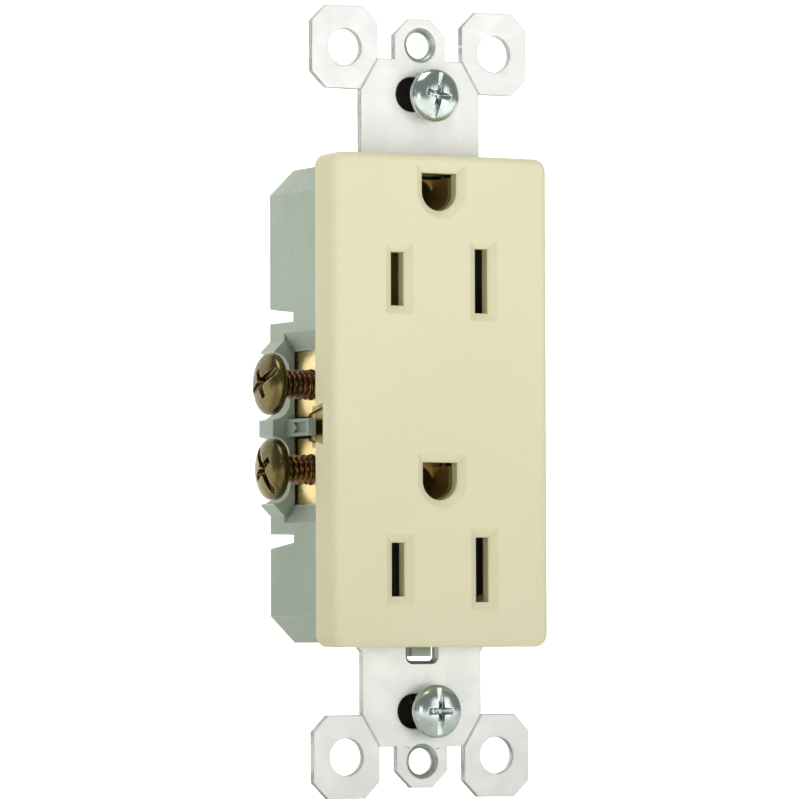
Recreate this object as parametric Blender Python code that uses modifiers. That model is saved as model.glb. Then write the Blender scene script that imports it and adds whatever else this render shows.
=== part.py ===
"""Duplex wall outlet with a flat rectangular face, built as its separate pieces.

Frame: X to the right, Z up, the face looks along -Y. The origin is the centre of the
mounting strap's rear face, where the device seats against the wall box.
"""
import math

import bmesh
import bpy
from mathutils import Matrix

MM = 0.001

# clearances
FIT = 0.3 * MM              # between pieces that touch
THREAD_GAP = 0.08 * MM      # around a shank in its threaded hole
OVERSHOOT = 0.5 * MM        # how far a cutter runs past the face that it opens
BITE = 0.1 * MM             # how far joined shapes run into each other
PART_BITE = 0.4 * BITE      # the same where a full bite would end on another face
WELD = 0.0001 * MM          # points closer than this are one

# face cover
COVER_WIDTH = 32.4 * MM
COVER_HEIGHT = 66.1 * MM
COVER_PROUD = 6.25 * MM     # front face ahead of the strap
COVER_FACE_WALL = 2.4 * MM
COVER_SIDE_WALL = 1.5 * MM
COVER_CORNER = 1.7 * MM
COVER_EDGE_ROUND = 0.9 * MM
COVER_STRAP_GAP = 0.4 * MM
TAB_NOTCH_DEPTH = 2.35 * MM
TAB_NOTCH_HALF = 2.2 * MM   # at the cover's back edge
TAB_NOTCH_INNER_HALF = 2.8 * MM

# outlet pattern
BLADE_SPACING = 12.7 * MM
OUTLET_SPACING = 38.9 * MM
PATTERN_DROP = 3.22 * MM    # pattern centre below the strap's centre
GROUND_RISE = 11.89 * MM    # ground hole centre above the blade line
SLOT_WIDTH = 1.9 * MM
HOT_SLOT_HEIGHT = 7.2 * MM
NEUTRAL_SLOT_HEIGHT = 8.7 * MM
GROUND_HOLE_RADIUS = 2.6 * MM
GROUND_HOLE_TOP = 2.5 * MM
LEAD_IN = 1.15 * MM         # width of the bevel round each opening
LEAD_IN_DEPTH = 1.35 * MM

# mounting strap
STRAP_THICKNESS = 1.2 * MM
STRAP_WIDTH = 18.0 * MM
STRAP_NECK_WIDTH = 18.8 * MM
STRAP_INNER_GAP = 0.4 * MM  # strap edge to the body's inner wall
STRAP_NECK_REACH = 0.6 * MM  # how far the wider neck runs past the cover
STRAP_SHOULDER_FALL = 0.3 * MM
WINDOW_MARGIN = 0.4 * MM    # strap window round the blades
BRIDGE_MARGIN = 0.6 * MM    # strap bridge above the lower ground hole
BOX_SCREW_FROM_COVER = 8.62 * MM
PLATE_SCREW_FROM_BOX_SCREW = 6.75 * MM
SHOULDER_FROM_BOX_SCREW = 4.73 * MM
SLOT_LENGTH = 7.35 * MM
SLOT_HEIGHT = 4.7 * MM
PLATE_HOLE_RADIUS = 1.75 * MM
EAR_INNER = 6.4 * MM
EAR_WIDTH = 9.9 * MM
EAR_HEIGHT = 11.2 * MM
EAR_CHAMFER = 2.2 * MM
EAR_HOLE_RADIUS = 2.5 * MM
EAR_FROM_BOX_SCREW = 0.45 * MM
TAB_HALF_WIDTH = 3.85 * MM
TAB_TOP_HALF_WIDTH = 1.6 * MM
TAB_TOP_FROM_PLATE_SCREW = 3.55 * MM
SCORE_WIDTH = 0.4 * MM
SCORE_DEPTH = 0.25 * MM
LUG_HOLE_HALF_WIDTH = 2.05 * MM
LUG_HOLE_FROM_COVER = 1.85 * MM
LUG_HOLE_CORNER = 0.6 * MM
LUG_SET_BACK = 0.2 * MM
LUG_BACK = 3.0 * MM

# back body
BODY_SIDE_GAP = 2.2 * MM    # cover's side ahead of the body's side
BODY_END_GAP = 0.65 * MM
BODY_DEPTH = 16.7 * MM      # behind the strap's rear face
BODY_WALL = 1.6 * MM
BODY_CHAMFER = 3.6 * MM
LIP_REACH = 3.2 * MM        # side lips that nest inside the cover
RECESS_HALF = 10.3 * MM     # terminal recess, half its height at the floor
RECESS_SLOPE = 2.5 * MM
WING_THICKNESS = 4.3 * MM
WING_REACH = 1.7 * MM
WING_HALF = 10.25 * MM
NOTCH_WALL = 0.7 * MM       # left between a wing notch and the cavity
NOTCH_CORNER = 2.6 * MM
RIB_THICKNESS = 2.3 * MM
RIB_SET_BACK = 0.4 * MM
RIB_FRONT = 5.8 * MM
SILL_THICKNESS = 1.0 * MM
SILL_OVERLAP = 0.8 * MM
RELEASE_FROM_WIRE = 3.15 * MM
RELEASE_HEIGHT = 1.2 * MM
RELEASE_FLARE = 0.8 * MM
RELEASE_DEPTH = 7.2 * MM
RELEASE_WIDTH = 4.2 * MM
WIRE_PLACE = 0.463          # share of the room from terminal screw to contacts
WIRE_HOLE_RADIUS = 1.1 * MM
WIRE_HOLE_SHIFT = 0.2 * MM
WIRE_FUNNEL = 0.5 * MM
BOSS_INSET = 4.6 * MM       # assembly screw from the body's side
BOSS_FROM_END = 4.5 * MM
BOSS_RADIUS = 2.1 * MM
SEAT_WALL = 0.7 * MM        # round and under the assembly screws' heads
SEAT_SINK = 0.6 * MM

# current-carrying pieces
BUS_THICKNESS = 0.8 * MM
BUS_FRONT = 3.9 * MM
BUS_BACK = 12.7 * MM
PAD_GAP_HALF = 1.5 * MM
TAB_BACK = 8.6 * MM
TAB_OUTER_HALF = 2.85 * MM
TAB_INNER_HALF = 1.8 * MM
TAB_SINK = 0.4 * MM
LINK_BACK = 9.0 * MM
LEAF_THICKNESS = 0.6 * MM
LEAF_GAP = 1.3 * MM
LEAF_HEIGHT = 5.8 * MM
LEAF_FRONT = 0.9 * MM
LEAF_BACK = 9.5 * MM
LINK_SHORT = 0.7 * MM       # the pad's back part stops this far inside the clip's end
CLIP_THICKNESS = 0.35 * MM
CLIP_HEIGHT = 3.8 * MM
CLIP_WALL_THICKNESS = 1.0 * MM
CLIP_WALL_FRONT = 4.6 * MM
CLIP_LEG_BACK = 12.4 * MM
CLIP_BEND_DEPTH = 6.6 * MM
CLIP_BEND_RADIUS = 0.9 * MM
CLIP_TIP_DEPTH = 9.6 * MM

# grounding pieces
GROUND_PIN_RADIUS = 2.375 * MM
GROUND_WALL = 0.6 * MM
GROUND_PLAY = 0.12 * MM     # round the pin
GROUND_THROAT_GAP = 0.05 * MM
GROUND_OPENING_RISE = 0.35 * MM  # the strip's opening sits this far below the pin's centre
GROUND_OPENING_INSET = 0.1 * MM
GROUND_SIDE_RISE = 2.2 * MM
GROUND_FRONT_GAP = 0.55 * MM
GROUND_CHANNEL_BACK = 8.5 * MM
STRIP_THICKNESS = 0.7 * MM
STRIP_HALF_WIDTH = 4.4 * MM
STRIP_CORNER = 0.8 * MM
RIVET_RADIUS = 1.25 * MM
RIVET_HEAD_RADIUS = 2.2 * MM
RIVET_HEAD_HEIGHT = 0.6 * MM
RIVET_CROWN = 0.75          # flat share of the formed head's radius
RIVET_RIM = 0.4             # upright share of its height
RIVET_FROM_BRIDGE_END = 3.4 * MM
GROUND_TAB_DEPTH = 9.0 * MM
GROUND_TAB_HEIGHT = 5.6 * MM
GROUND_TAB_FROM_BUS = 0.8 * MM

# screws: shank radius, shank length, head radius, head height
TERMINAL_SCREW = (2.05 * MM, 7.3 * MM, 4.2 * MM, 2.3 * MM)
MOUNTING_SCREW = (1.65 * MM, 19.0 * MM, 3.6 * MM, 2.1 * MM)
ASSEMBLY_SCREW = (1.1 * MM, 18.4 * MM, 2.1 * MM, 1.3 * MM)
GROUND_SCREW = (2.05 * MM, 7.3 * MM, 4.0 * MM, 2.0 * MM)
TERMINAL_FROM_CENTRE = 5.75 * MM
TERMINAL_DEPTH = 8.0 * MM   # screw axes behind the strap
UPPER_BACKED_OUT = 5.4 * MM  # head above the brass pad
LOWER_BACKED_OUT = 5.1 * MM
GROUND_BACKED_OUT = 3.4 * MM
GROUND_SCREW_DEPTH = 5.2 * MM
MOUNTING_PROUD = 1.35 * MM
MOUNTING_SIDE_SHIFT = 1.2 * MM
UPPER_SCREW_SAG = 0.2 * MM
WASHER_RADIUS = 4.1 * MM
WASHER_THICKNESS = 0.8 * MM
DRIVE_SLOT = 0.9 * MM
DRIVE_DEPTH = 1.1 * MM
CROSS_SHARE = 0.55          # the recess's cross arms, as a share of the head's radius
CROSS_DEEPER = 0.3 * MM
SHANK_CHAMFER = 0.4 * MM
HEX_ROUND = 0.2 * MM        # the green head's corners stand this far past its circle
HEX_FLAT_RADIUS = 3.6 * MM
HEX_FLANGE = 0.7 * MM
ROUND_STEPS = 24
DOME_STEPS = 4
PAN_DOME = 0.7              # rounded share of a pan head's height
HEX_DOME = 0.25
HEAD_SEAT = 0.94            # underside of a head, as a share of its radius

# places worked out from the sizes above
strap_front = -STRAP_THICKNESS
cover_front = strap_front - COVER_PROUD
cover_back = strap_front - COVER_STRAP_GAP
cover_face_back = cover_front + COVER_FACE_WALL
cover_half_width = COVER_WIDTH / 2
cover_half_height = COVER_HEIGHT / 2
body_half_width = cover_half_width - BODY_SIDE_GAP
body_half_height = cover_half_height - BODY_END_GAP
body_front = cover_back + FIT
cavity_half_width = body_half_width - BODY_WALL
cavity_half_height = body_half_height - BODY_WALL
cavity_back = BODY_DEPTH - BODY_WALL
strap_inner_half = cavity_half_width - STRAP_INNER_GAP
box_screw_z = cover_half_height + BOX_SCREW_FROM_COVER
plate_screw_z = box_screw_z + PLATE_SCREW_FROM_BOX_SCREW
pattern_z = -PATTERN_DROP
outlet_zs = {"upper": pattern_z + OUTLET_SPACING / 2, "lower": pattern_z - OUTLET_SPACING / 2}
blade_x = BLADE_SPACING / 2
wing_front = BODY_DEPTH - WING_THICKNESS
bus_outer = cavity_half_width - FIT
bus_inner = bus_outer - BUS_THICKNESS
contact_half = LEAF_HEIGHT / 2
bus_top = OUTLET_SPACING / 2 + contact_half   # from the pattern centre, both ways
contact_low = bus_top - LEAF_HEIGHT
screw_side = TERMINAL_FROM_CENTRE + TERMINAL_SCREW[0]
wire_from_centre = screw_side + WIRE_PLACE * (contact_low - screw_side)
release_from_centre = wire_from_centre + RELEASE_FROM_WIRE
inner_chamfer = BODY_CHAMFER - BODY_WALL * (2 - math.sqrt(2))
boss_x = body_half_width - BOSS_INSET
boss_z = body_half_height - BOSS_FROM_END
head_seat = BODY_DEPTH - ASSEMBLY_SCREW[3] - SEAT_SINK
clip_wall_x = blade_x
wire_x = bus_inner - WIRE_HOLE_RADIUS + WIRE_HOLE_SHIFT
bridge_top = outlet_zs["upper"] - NEUTRAL_SLOT_HEIGHT / 2 - WINDOW_MARGIN
bridge_bottom = outlet_zs["lower"] + GROUND_RISE + GROUND_HOLE_RADIUS + BRIDGE_MARGIN
ground_tab_low = pattern_z + bus_top + GROUND_TAB_FROM_BUS
ground_screw_z = ground_tab_low + GROUND_TAB_HEIGHT / 2

for old in list(bpy.data.objects):
    bpy.data.objects.remove(old)

parts = bpy.data.collections.new("duplex_wall_outlet")
cutters = bpy.data.collections.new("cutters")
for group in (parts, cutters):
    bpy.context.scene.collection.children.link(group)


def make_material(name, colour, metallic, roughness):
    material = bpy.data.materials.new(name)
    material.use_nodes = True
    shader = material.node_tree.nodes["Principled BSDF"]
    shader.inputs["Base Color"].default_value = (*colour, 1.0)
    shader.inputs["Metallic"].default_value = metallic
    shader.inputs["Roughness"].default_value = roughness
    return material


ivory = make_material("ivory_plastic", (0.73, 0.69, 0.45), 0.0, 0.45)
body_plastic = make_material("grey_green_plastic", (0.36, 0.42, 0.34), 0.0, 0.55)
zinc = make_material("galvanised_steel", (0.80, 0.80, 0.78), 1.0, 0.35)
brass = make_material("brass", (0.72, 0.52, 0.20), 1.0, 0.30)
aged_brass = make_material("aged_brass", (0.33, 0.22, 0.07), 1.0, 0.40)
silver = make_material("nickel_plate", (0.66, 0.64, 0.60), 1.0, 0.30)
green = make_material("green_plate", (0.05, 0.25, 0.10), 0.8, 0.35)
spring_steel = make_material("spring_steel", (0.45, 0.45, 0.44), 1.0, 0.30)
fibre = make_material("fibre_washer", (0.75, 0.70, 0.60), 0.0, 0.80)

# how local (u, v, w) lies in the world: an outline is drawn in u, v and is extruded along w
PLANES = {
    "XY": Matrix(((1, 0, 0), (0, 1, 0), (0, 0, 1))).to_4x4(),
    "XZ": Matrix(((1, 0, 0), (0, 0, -1), (0, 1, 0))).to_4x4(),
    "YZ": Matrix(((0, 0, 1), (1, 0, 0), (0, 1, 0))).to_4x4(),
}
# a screw's head points along local +Z: which way that is in the world
FACING = {
    "front": Matrix.Rotation(math.radians(90), 4, "X"),
    "back": Matrix.Rotation(math.radians(-90), 4, "X"),
    "left": Matrix.Rotation(math.radians(-90), 4, "Y"),
    "right": Matrix.Rotation(math.radians(90), 4, "Y"),
}


def place(name, mesh, material=None):
    """A part when it has a material, and a cutter or a lump to be joined when it has none."""
    thing = bpy.data.objects.new(name, mesh)
    if material is None:
        cutters.objects.link(thing)
        thing.hide_render = True
        thing.display_type = "WIRE"
    else:
        mesh.materials.append(material)
        parts.objects.link(thing)
    return thing


def box(name, low, high, material=None):
    """A block between two corners."""
    shape = bmesh.new()
    bmesh.ops.create_cube(shape, size=1.0)
    for vertex in shape.verts:
        vertex.co = [low[i] if vertex.co[i] < 0 else high[i] for i in range(3)]
    mesh = bpy.data.meshes.new(name)
    shape.to_mesh(mesh)
    shape.free()
    return place(name, mesh, material)


def outline_solid(name, loops, low, high, plane, material=None):
    """A flat outline, with any holes in it, extruded from low to high across its plane."""
    curve = bpy.data.curves.new(name, "CURVE")
    curve.dimensions = "2D"
    curve.fill_mode = "BOTH"
    curve.extrude = abs(high - low) / 2
    for loop in loops:
        spline = curve.splines.new("POLY")
        spline.points.add(len(loop) - 1)
        for point, (u, v) in zip(spline.points, loop):
            point.co = (u, v, 0, 1)
        spline.use_cyclic_u = True
    drawn = bpy.data.objects.new(name, curve)
    parts.objects.link(drawn)
    depsgraph = bpy.context.evaluated_depsgraph_get()
    mesh = bpy.data.meshes.new_from_object(drawn.evaluated_get(depsgraph))
    bpy.data.objects.remove(drawn)
    bpy.data.curves.remove(curve)
    shape = bmesh.new()
    shape.from_mesh(mesh)
    bmesh.ops.remove_doubles(shape, verts=shape.verts, dist=WELD)
    bmesh.ops.recalc_face_normals(shape, faces=shape.faces)
    shape.to_mesh(mesh)
    shape.free()
    mesh.name = name
    solid = place(name, mesh, material)
    middle = (low + high) / 2
    solid.matrix_world = PLANES[plane] @ Matrix.Translation((0, 0, -middle if plane == "XZ" else middle))
    return solid


def turned(name, profile, facing, location, material=None, steps=ROUND_STEPS):
    """A profile of (radius, height) pairs, from the top of its axis to the bottom, turned round Z."""
    mesh = bpy.data.meshes.new(name)
    edges = [(i, i + 1) for i in range(len(profile) - 1)]
    mesh.from_pydata([(radius, 0, height) for radius, height in profile], edges, [])
    solid = place(name, mesh, material)
    screw = solid.modifiers.new("turn", "SCREW")
    screw.axis = "Z"
    screw.steps = steps
    screw.render_steps = steps
    screw.use_merge_vertices = True
    screw.merge_threshold = WELD
    solid.matrix_world = Matrix.Translation(location) @ FACING[facing]
    return solid


def cylinder(name, radius, low, high, facing, location, material=None, steps=ROUND_STEPS):
    profile = [(0, high), (radius, high), (radius, low), (0, low)]
    return turned(name, profile, facing, location, material, steps)


def loft(name, near_loop, far_loop, near_y, far_y):
    """A tapered plug between two outlines of the same count, both facing along Y."""
    shape = bmesh.new()
    near = [shape.verts.new((x, near_y, z)) for x, z in near_loop]
    far = [shape.verts.new((x, far_y, z)) for x, z in far_loop]
    shape.faces.new(near)
    shape.faces.new(list(reversed(far)))
    count = len(near)
    for i in range(count):
        j = (i + 1) % count
        shape.faces.new((near[j], near[i], far[i], far[j]))
    bmesh.ops.recalc_face_normals(shape, faces=shape.faces)
    mesh = bpy.data.meshes.new(name)
    shape.to_mesh(mesh)
    shape.free()
    return place(name, mesh)


def combine(target, tool, operation):
    modifier = target.modifiers.new(tool.name, "BOOLEAN")
    modifier.operation = operation
    modifier.solver = "EXACT"
    modifier.object = tool


def cut(target, tool):
    combine(target, tool, "DIFFERENCE")


def join(target, tool):
    combine(target, tool, "UNION")


def arc(u, v, radius, start, end, steps):
    """Points on a circle round (u, v), from one angle to another in degrees."""
    turn = [math.radians(start + (end - start) * i / steps) for i in range(steps + 1)]
    return [(u + radius * math.cos(a), v + radius * math.sin(a)) for a in turn]


def circle(u, v, radius, steps=ROUND_STEPS):
    return arc(u, v, radius, 0, 360, steps)[:-1]


def rectangle(u_low, u_high, v_low, v_high, radius=0.0, steps=4):
    if radius == 0.0:
        return [(u_low, v_low), (u_high, v_low), (u_high, v_high), (u_low, v_high)]
    return (
        arc(u_high - radius, v_low + radius, radius, -90, 0, steps)
        + arc(u_high - radius, v_high - radius, radius, 0, 90, steps)
        + arc(u_low + radius, v_high - radius, radius, 90, 180, steps)
        + arc(u_low + radius, v_low + radius, radius, 180, 270, steps)
    )


def ground_outline(z, grow=0.0, steps=12):
    """The ground hole: flat on top, half round below."""
    radius = GROUND_HOLE_RADIUS + grow
    top = z + GROUND_HOLE_TOP + grow
    return [(radius, top), (-radius, top)] + arc(0, z, radius, 180, 360, steps)


def mirrored(points):
    """A quarter outline, from the Z axis to the X axis, as the whole closed outline."""
    right = points + [(x, -z) for x, z in reversed(points)]
    return right + [(-x, z) for x, z in reversed(right)]


# ---- mounting strap
def build_strap():
    ear_low = box_screw_z + EAR_FROM_BOX_SCREW
    ear_high = ear_low + EAR_HEIGHT
    ear_outer = EAR_INNER + EAR_WIDTH
    shoulder = box_screw_z + SHOULDER_FROM_BOX_SCREW
    tab_top = plate_screw_z + TAB_TOP_FROM_PLATE_SCREW
    tab_slope = TAB_HALF_WIDTH - TAB_TOP_HALF_WIDTH
    neck = STRAP_NECK_WIDTH / 2
    half = STRAP_WIDTH / 2
    neck_end = cover_half_height + STRAP_NECK_REACH
    inside_end = cavity_half_height - FIT
    corner = inner_chamfer + FIT * (math.sqrt(2) - 1) - STRAP_INNER_GAP
    quarter = [
        (TAB_TOP_HALF_WIDTH, tab_top),
        (TAB_HALF_WIDTH, tab_top - tab_slope),
        (TAB_HALF_WIDTH, shoulder),
        (EAR_INNER, shoulder),
        (EAR_INNER, ear_high - EAR_CHAMFER),
        (EAR_INNER + EAR_CHAMFER, ear_high),
        (ear_outer - EAR_CHAMFER, ear_high),
        (ear_outer, ear_high - EAR_CHAMFER),
        (ear_outer, ear_low + EAR_CHAMFER),
        (ear_outer - EAR_CHAMFER, ear_low),
        (half, ear_low),
        (half, neck_end),
        (neck, neck_end - (neck - half)),
        (neck, inside_end),
        (strap_inner_half - corner, inside_end - STRAP_SHOULDER_FALL),
        (strap_inner_half, inside_end - STRAP_SHOULDER_FALL - corner),
    ]
    loops = [mirrored(quarter)]
    straight = (SLOT_LENGTH - SLOT_HEIGHT) / 2
    for side in (1, -1):
        z = side * box_screw_z
        loops.append(arc(straight, z, SLOT_HEIGHT / 2, -90, 90, 12)
                     + arc(-straight, z, SLOT_HEIGHT / 2, 90, 270, 12))
        loops.append(circle(0, side * plate_screw_z, PLATE_HOLE_RADIUS))
        for x_side in (1, -1):
            ear_centre = EAR_INNER + EAR_WIDTH / 2
            loops.append(circle(x_side * ear_centre, side * (ear_low + ear_high) / 2, EAR_HOLE_RADIUS))
            loops.append(circle(x_side * boss_x, side * boss_z, ASSEMBLY_SCREW[0] + FIT / 2, 12))
    window_half = blade_x + SLOT_WIDTH / 2 + WINDOW_MARGIN
    throat = GROUND_PIN_RADIUS + 2 * GROUND_WALL + GROUND_THROAT_GAP
    for name, z in outlet_zs.items():
        low = bridge_top if name == "upper" else z - NEUTRAL_SLOT_HEIGHT / 2 - WINDOW_MARGIN
        middle = z + NEUTRAL_SLOT_HEIGHT / 2 + WINDOW_MARGIN
        high = bridge_bottom if name == "lower" else z + GROUND_RISE + GROUND_SIDE_RISE + 2 * FIT
        loops.append([(-throat, high), (throat, high), (throat, middle), (window_half, middle),
                      (window_half, low), (-window_half, low), (-window_half, middle), (-throat, middle)])
    for z in rivet_heights():
        loops.append(circle(0, z, RIVET_RADIUS + FIT / 2, 12))
    lug_low = -(cover_half_height + LUG_HOLE_FROM_COVER)
    loops.append(rectangle(-LUG_HOLE_HALF_WIDTH, LUG_HOLE_HALF_WIDTH, lug_low, -body_half_height + FIT,
                           LUG_HOLE_CORNER, 3))
    strap = outline_solid("mounting_strap", loops, strap_front, 0, "XZ", zinc)
    tab = box("ground_tab", (strap_inner_half - STRAP_THICKNESS, -BITE, ground_tab_low),
              (strap_inner_half, GROUND_TAB_DEPTH, ground_tab_low + GROUND_TAB_HEIGHT))
    join(strap, tab)
    hole = cylinder("ground_screw_hole", GROUND_SCREW[0] + THREAD_GAP, -OVERSHOOT,
                    STRAP_THICKNESS + OVERSHOOT, "right",
                    (strap_inner_half - STRAP_THICKNESS, GROUND_SCREW_DEPTH, ground_screw_z))
    cut(strap, hole)
    # break-off scores between each ear and the strap, on both faces
    run = math.hypot(half - EAR_INNER, shoulder - ear_low)
    slope = math.atan2(shoulder - ear_low, EAR_INNER - half)
    for side_z, side_x in ((1, 1), (1, -1), (-1, 1), (-1, -1)):
        for face, y in (("front", strap_front), ("rear", 0)):
            score = box(f"score_{face}_{side_z}_{side_x}",
                        (-run / 2 - OVERSHOOT, -SCORE_DEPTH, -SCORE_WIDTH / 2),
                        (run / 2 + OVERSHOOT, SCORE_DEPTH, SCORE_WIDTH / 2))
            angle = slope if side_z * side_x > 0 else -slope
            middle = (side_x * (half + EAR_INNER) / 2, y, side_z * (shoulder + ear_low) / 2)
            score.matrix_world = Matrix.Translation(middle) @ Matrix.Rotation(-angle, 4, "Y")
            cut(strap, score)


def rivet_heights():
    return (bridge_top - RIVET_FROM_BRIDGE_END, bridge_bottom + RIVET_FROM_BRIDGE_END)


# ---- face cover
def build_cover():
    outline = rectangle(-cover_half_width, cover_half_width, -cover_half_height, cover_half_height,
                        COVER_CORNER)
    cover = outline_solid("face_cover", [outline], cover_front, cover_back, "XZ", ivory)
    shape = bmesh.new()
    shape.from_mesh(cover.data)
    top = max(vertex.co.z for vertex in shape.verts)
    rim = [edge for edge in shape.edges
           if all(abs(vertex.co.z - top) < BITE for vertex in edge.verts)
           and any(abs(face.normal.z) < 0.5 for face in edge.link_faces)]
    bmesh.ops.bevel(shape, geom=rim, offset=COVER_EDGE_ROUND, segments=3, profile=0.5, affect="EDGES")
    shape.to_mesh(cover.data)
    shape.free()
    inner_w = cover_half_width - COVER_SIDE_WALL
    inner_h = cover_half_height - COVER_SIDE_WALL
    cut(cover, box("cover_cavity", (-inner_w, cover_face_back, -inner_h),
                   (inner_w, cover_back + OVERSHOOT, inner_h)))
    grow = LEAD_IN * (1 + OVERSHOOT / LEAD_IN_DEPTH)
    for name, z in outlet_zs.items():
        for side, height in ((-1, HOT_SLOT_HEIGHT), (1, NEUTRAL_SLOT_HEIGHT)):
            x = side * blade_x
            half_w, half_h = SLOT_WIDTH / 2, height / 2
            label = f"{name}_{'hot' if side < 0 else 'neutral'}"
            cut(cover, box(f"slot_{label}", (x - half_w, cover_front - OVERSHOOT, z - half_h),
                           (x + half_w, cover_face_back + OVERSHOOT, z + half_h)))
            near = rectangle(x - half_w - grow, x + half_w + grow, z - half_h - grow, z + half_h + grow)
            far = rectangle(x - half_w, x + half_w, z - half_h, z + half_h)
            cut(cover, loft(f"lead_in_{label}", near, far, cover_front - OVERSHOOT,
                            cover_front + LEAD_IN_DEPTH))
        ground_z = z + GROUND_RISE
        cut(cover, outline_solid(f"ground_{name}", [ground_outline(ground_z)], cover_front - OVERSHOOT,
                                 cover_face_back + OVERSHOOT, "XZ"))
        cut(cover, loft(f"lead_in_ground_{name}", ground_outline(ground_z, grow), ground_outline(ground_z),
                        cover_front - OVERSHOOT, cover_front + LEAD_IN_DEPTH))
    depth = cover_back - cover_face_back
    for label, x, z in corners():
        spot = (x, cover_face_back, z)
        join(cover, cylinder(f"cover_boss_{label}", BOSS_RADIUS, -depth, BITE, "front", spot, steps=16))
        cut(cover, cylinder(f"pilot_{label}", ASSEMBLY_SCREW[0] + THREAD_GAP, -depth - OVERSHOOT, 0,
                            "front", spot, steps=12))
    # notches in both sides over the break-off tabs
    near = [(cover_back + OVERSHOOT, TAB_NOTCH_HALF), (cover_back - TAB_NOTCH_DEPTH, TAB_NOTCH_INNER_HALF)]
    for side in (-1, 1):
        loop = [(y, pattern_z + half) for y, half in near]
        loop += [(y, pattern_z - half) for y, half in reversed(near)]
        edge = side * cover_half_width
        low, high = sorted((edge + side * OVERSHOOT, edge - side * (COVER_SIDE_WALL + OVERSHOOT)))
        cut(cover, outline_solid(f"tab_notch_{side}", [loop], low, high, "YZ"))


def corners():
    """The four assembly screws: name, x and z."""
    return [(f"{row}_{column}", x * boss_x, z * boss_z)
            for row, z in (("upper", 1), ("lower", -1)) for column, x in (("left", -1), ("right", 1))]


# ---- back body
def chamfered(half_width, half_height, chamfer):
    return mirrored([(half_width - chamfer, half_height), (half_width, half_height - chamfer)])


def build_body():
    body = outline_solid("back_body", [chamfered(body_half_width, body_half_height, BODY_CHAMFER)],
                         body_front, BODY_DEPTH, "XZ", body_plastic)
    wing_low, wing_high = pattern_z - WING_HALF, pattern_z + WING_HALF
    for side, label in ((-1, "left"), (1, "right")):
        wall, edge = side * body_half_width, side * (body_half_width + WING_REACH)
        root = wall - side * BITE
        slope = WING_REACH + BITE
        loop = [(root, wing_low - slope), (edge, wing_low), (edge, wing_high), (root, wing_high + slope)]
        join(body, outline_solid(f"wing_{label}", [loop], wing_front, BODY_DEPTH, "XZ"))
        for row, z in (("upper", 1), ("lower", -1)):
            far = z * (body_half_height - BODY_CHAMFER - FIT)
            near = pattern_z + z * RECESS_HALF
            low, high = sorted((far, near))
            x_low, x_high = sorted((wall, side * cavity_half_width))
            join(body, box(f"lip_{label}_{row}", (x_low, body_front - LIP_REACH, low),
                           (x_high, body_front + BITE, high)))
    inside = chamfered(cavity_half_width, cavity_half_height, inner_chamfer)
    cut(body, outline_solid("body_cavity", [inside], body_front - LIP_REACH - OVERSHOOT, cavity_back, "XZ"))
    for row, z in (("upper", 1), ("lower", -1)):
        low, high = sorted((z * (cavity_half_height - OVERSHOOT), z * (body_half_height + OVERSHOOT)))
        half = STRAP_NECK_WIDTH / 2 + FIT
        cut(body, box(f"strap_gate_{row}", (-half, body_front - OVERSHOOT, low), (half, FIT, high)))
    for side, label in ((-1, "left"), (1, "right")):
        cut_recess(body, side, label)
        add_inner_walls(body, side, label)
        notch_wing(body, side, label)
    root = -BODY_DEPTH + BITE
    wide = ASSEMBLY_SCREW[2] + FIT + SEAT_WALL
    seat_top = -head_seat + SEAT_WALL + BITE
    profile = [(0, -FIT), (BOSS_RADIUS, -FIT), (BOSS_RADIUS, seat_top), (wide, seat_top), (wide, root),
               (0, root)]
    for label, x, z in corners():
        join(body, turned(f"body_boss_{label}", profile, "front", (x, 0, z), steps=16))
    back = -BODY_DEPTH - OVERSHOOT
    bore = ASSEMBLY_SCREW[0] + FIT
    seat = ASSEMBLY_SCREW[2] + FIT
    for label, x, z in corners():
        cut(body, cylinder(f"body_bore_{label}", bore, back, OVERSHOOT, "front", (x, 0, z), steps=12))
        cut(body, cylinder(f"head_seat_{label}", seat, back, -head_seat, "front", (x, 0, z), steps=16))
    # opening over the ground terminal
    reach = GROUND_SCREW[2] + FIT
    cut(body, box("ground_window", (cavity_half_width - OVERSHOOT, body_front - LIP_REACH - OVERSHOOT,
                                    ground_screw_z - reach),
                  (body_half_width + OVERSHOOT, GROUND_SCREW_DEPTH + reach, ground_screw_z + reach)))
    # lug that stands in the strap's hole and locates it
    low = -(cover_half_height + LUG_HOLE_FROM_COVER) + 2 * FIT
    high, root = -body_half_height - BITE, -body_half_height + BITE
    front, back = strap_front + LUG_SET_BACK, LUG_BACK
    loop = [(front, low), (back, low), (back, root), (2 * FIT, root), (2 * FIT, high), (front, high)]
    half = LUG_HOLE_HALF_WIDTH - 2 * FIT
    join(body, outline_solid("strap_lug", [loop], -half, half, "YZ"))


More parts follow.
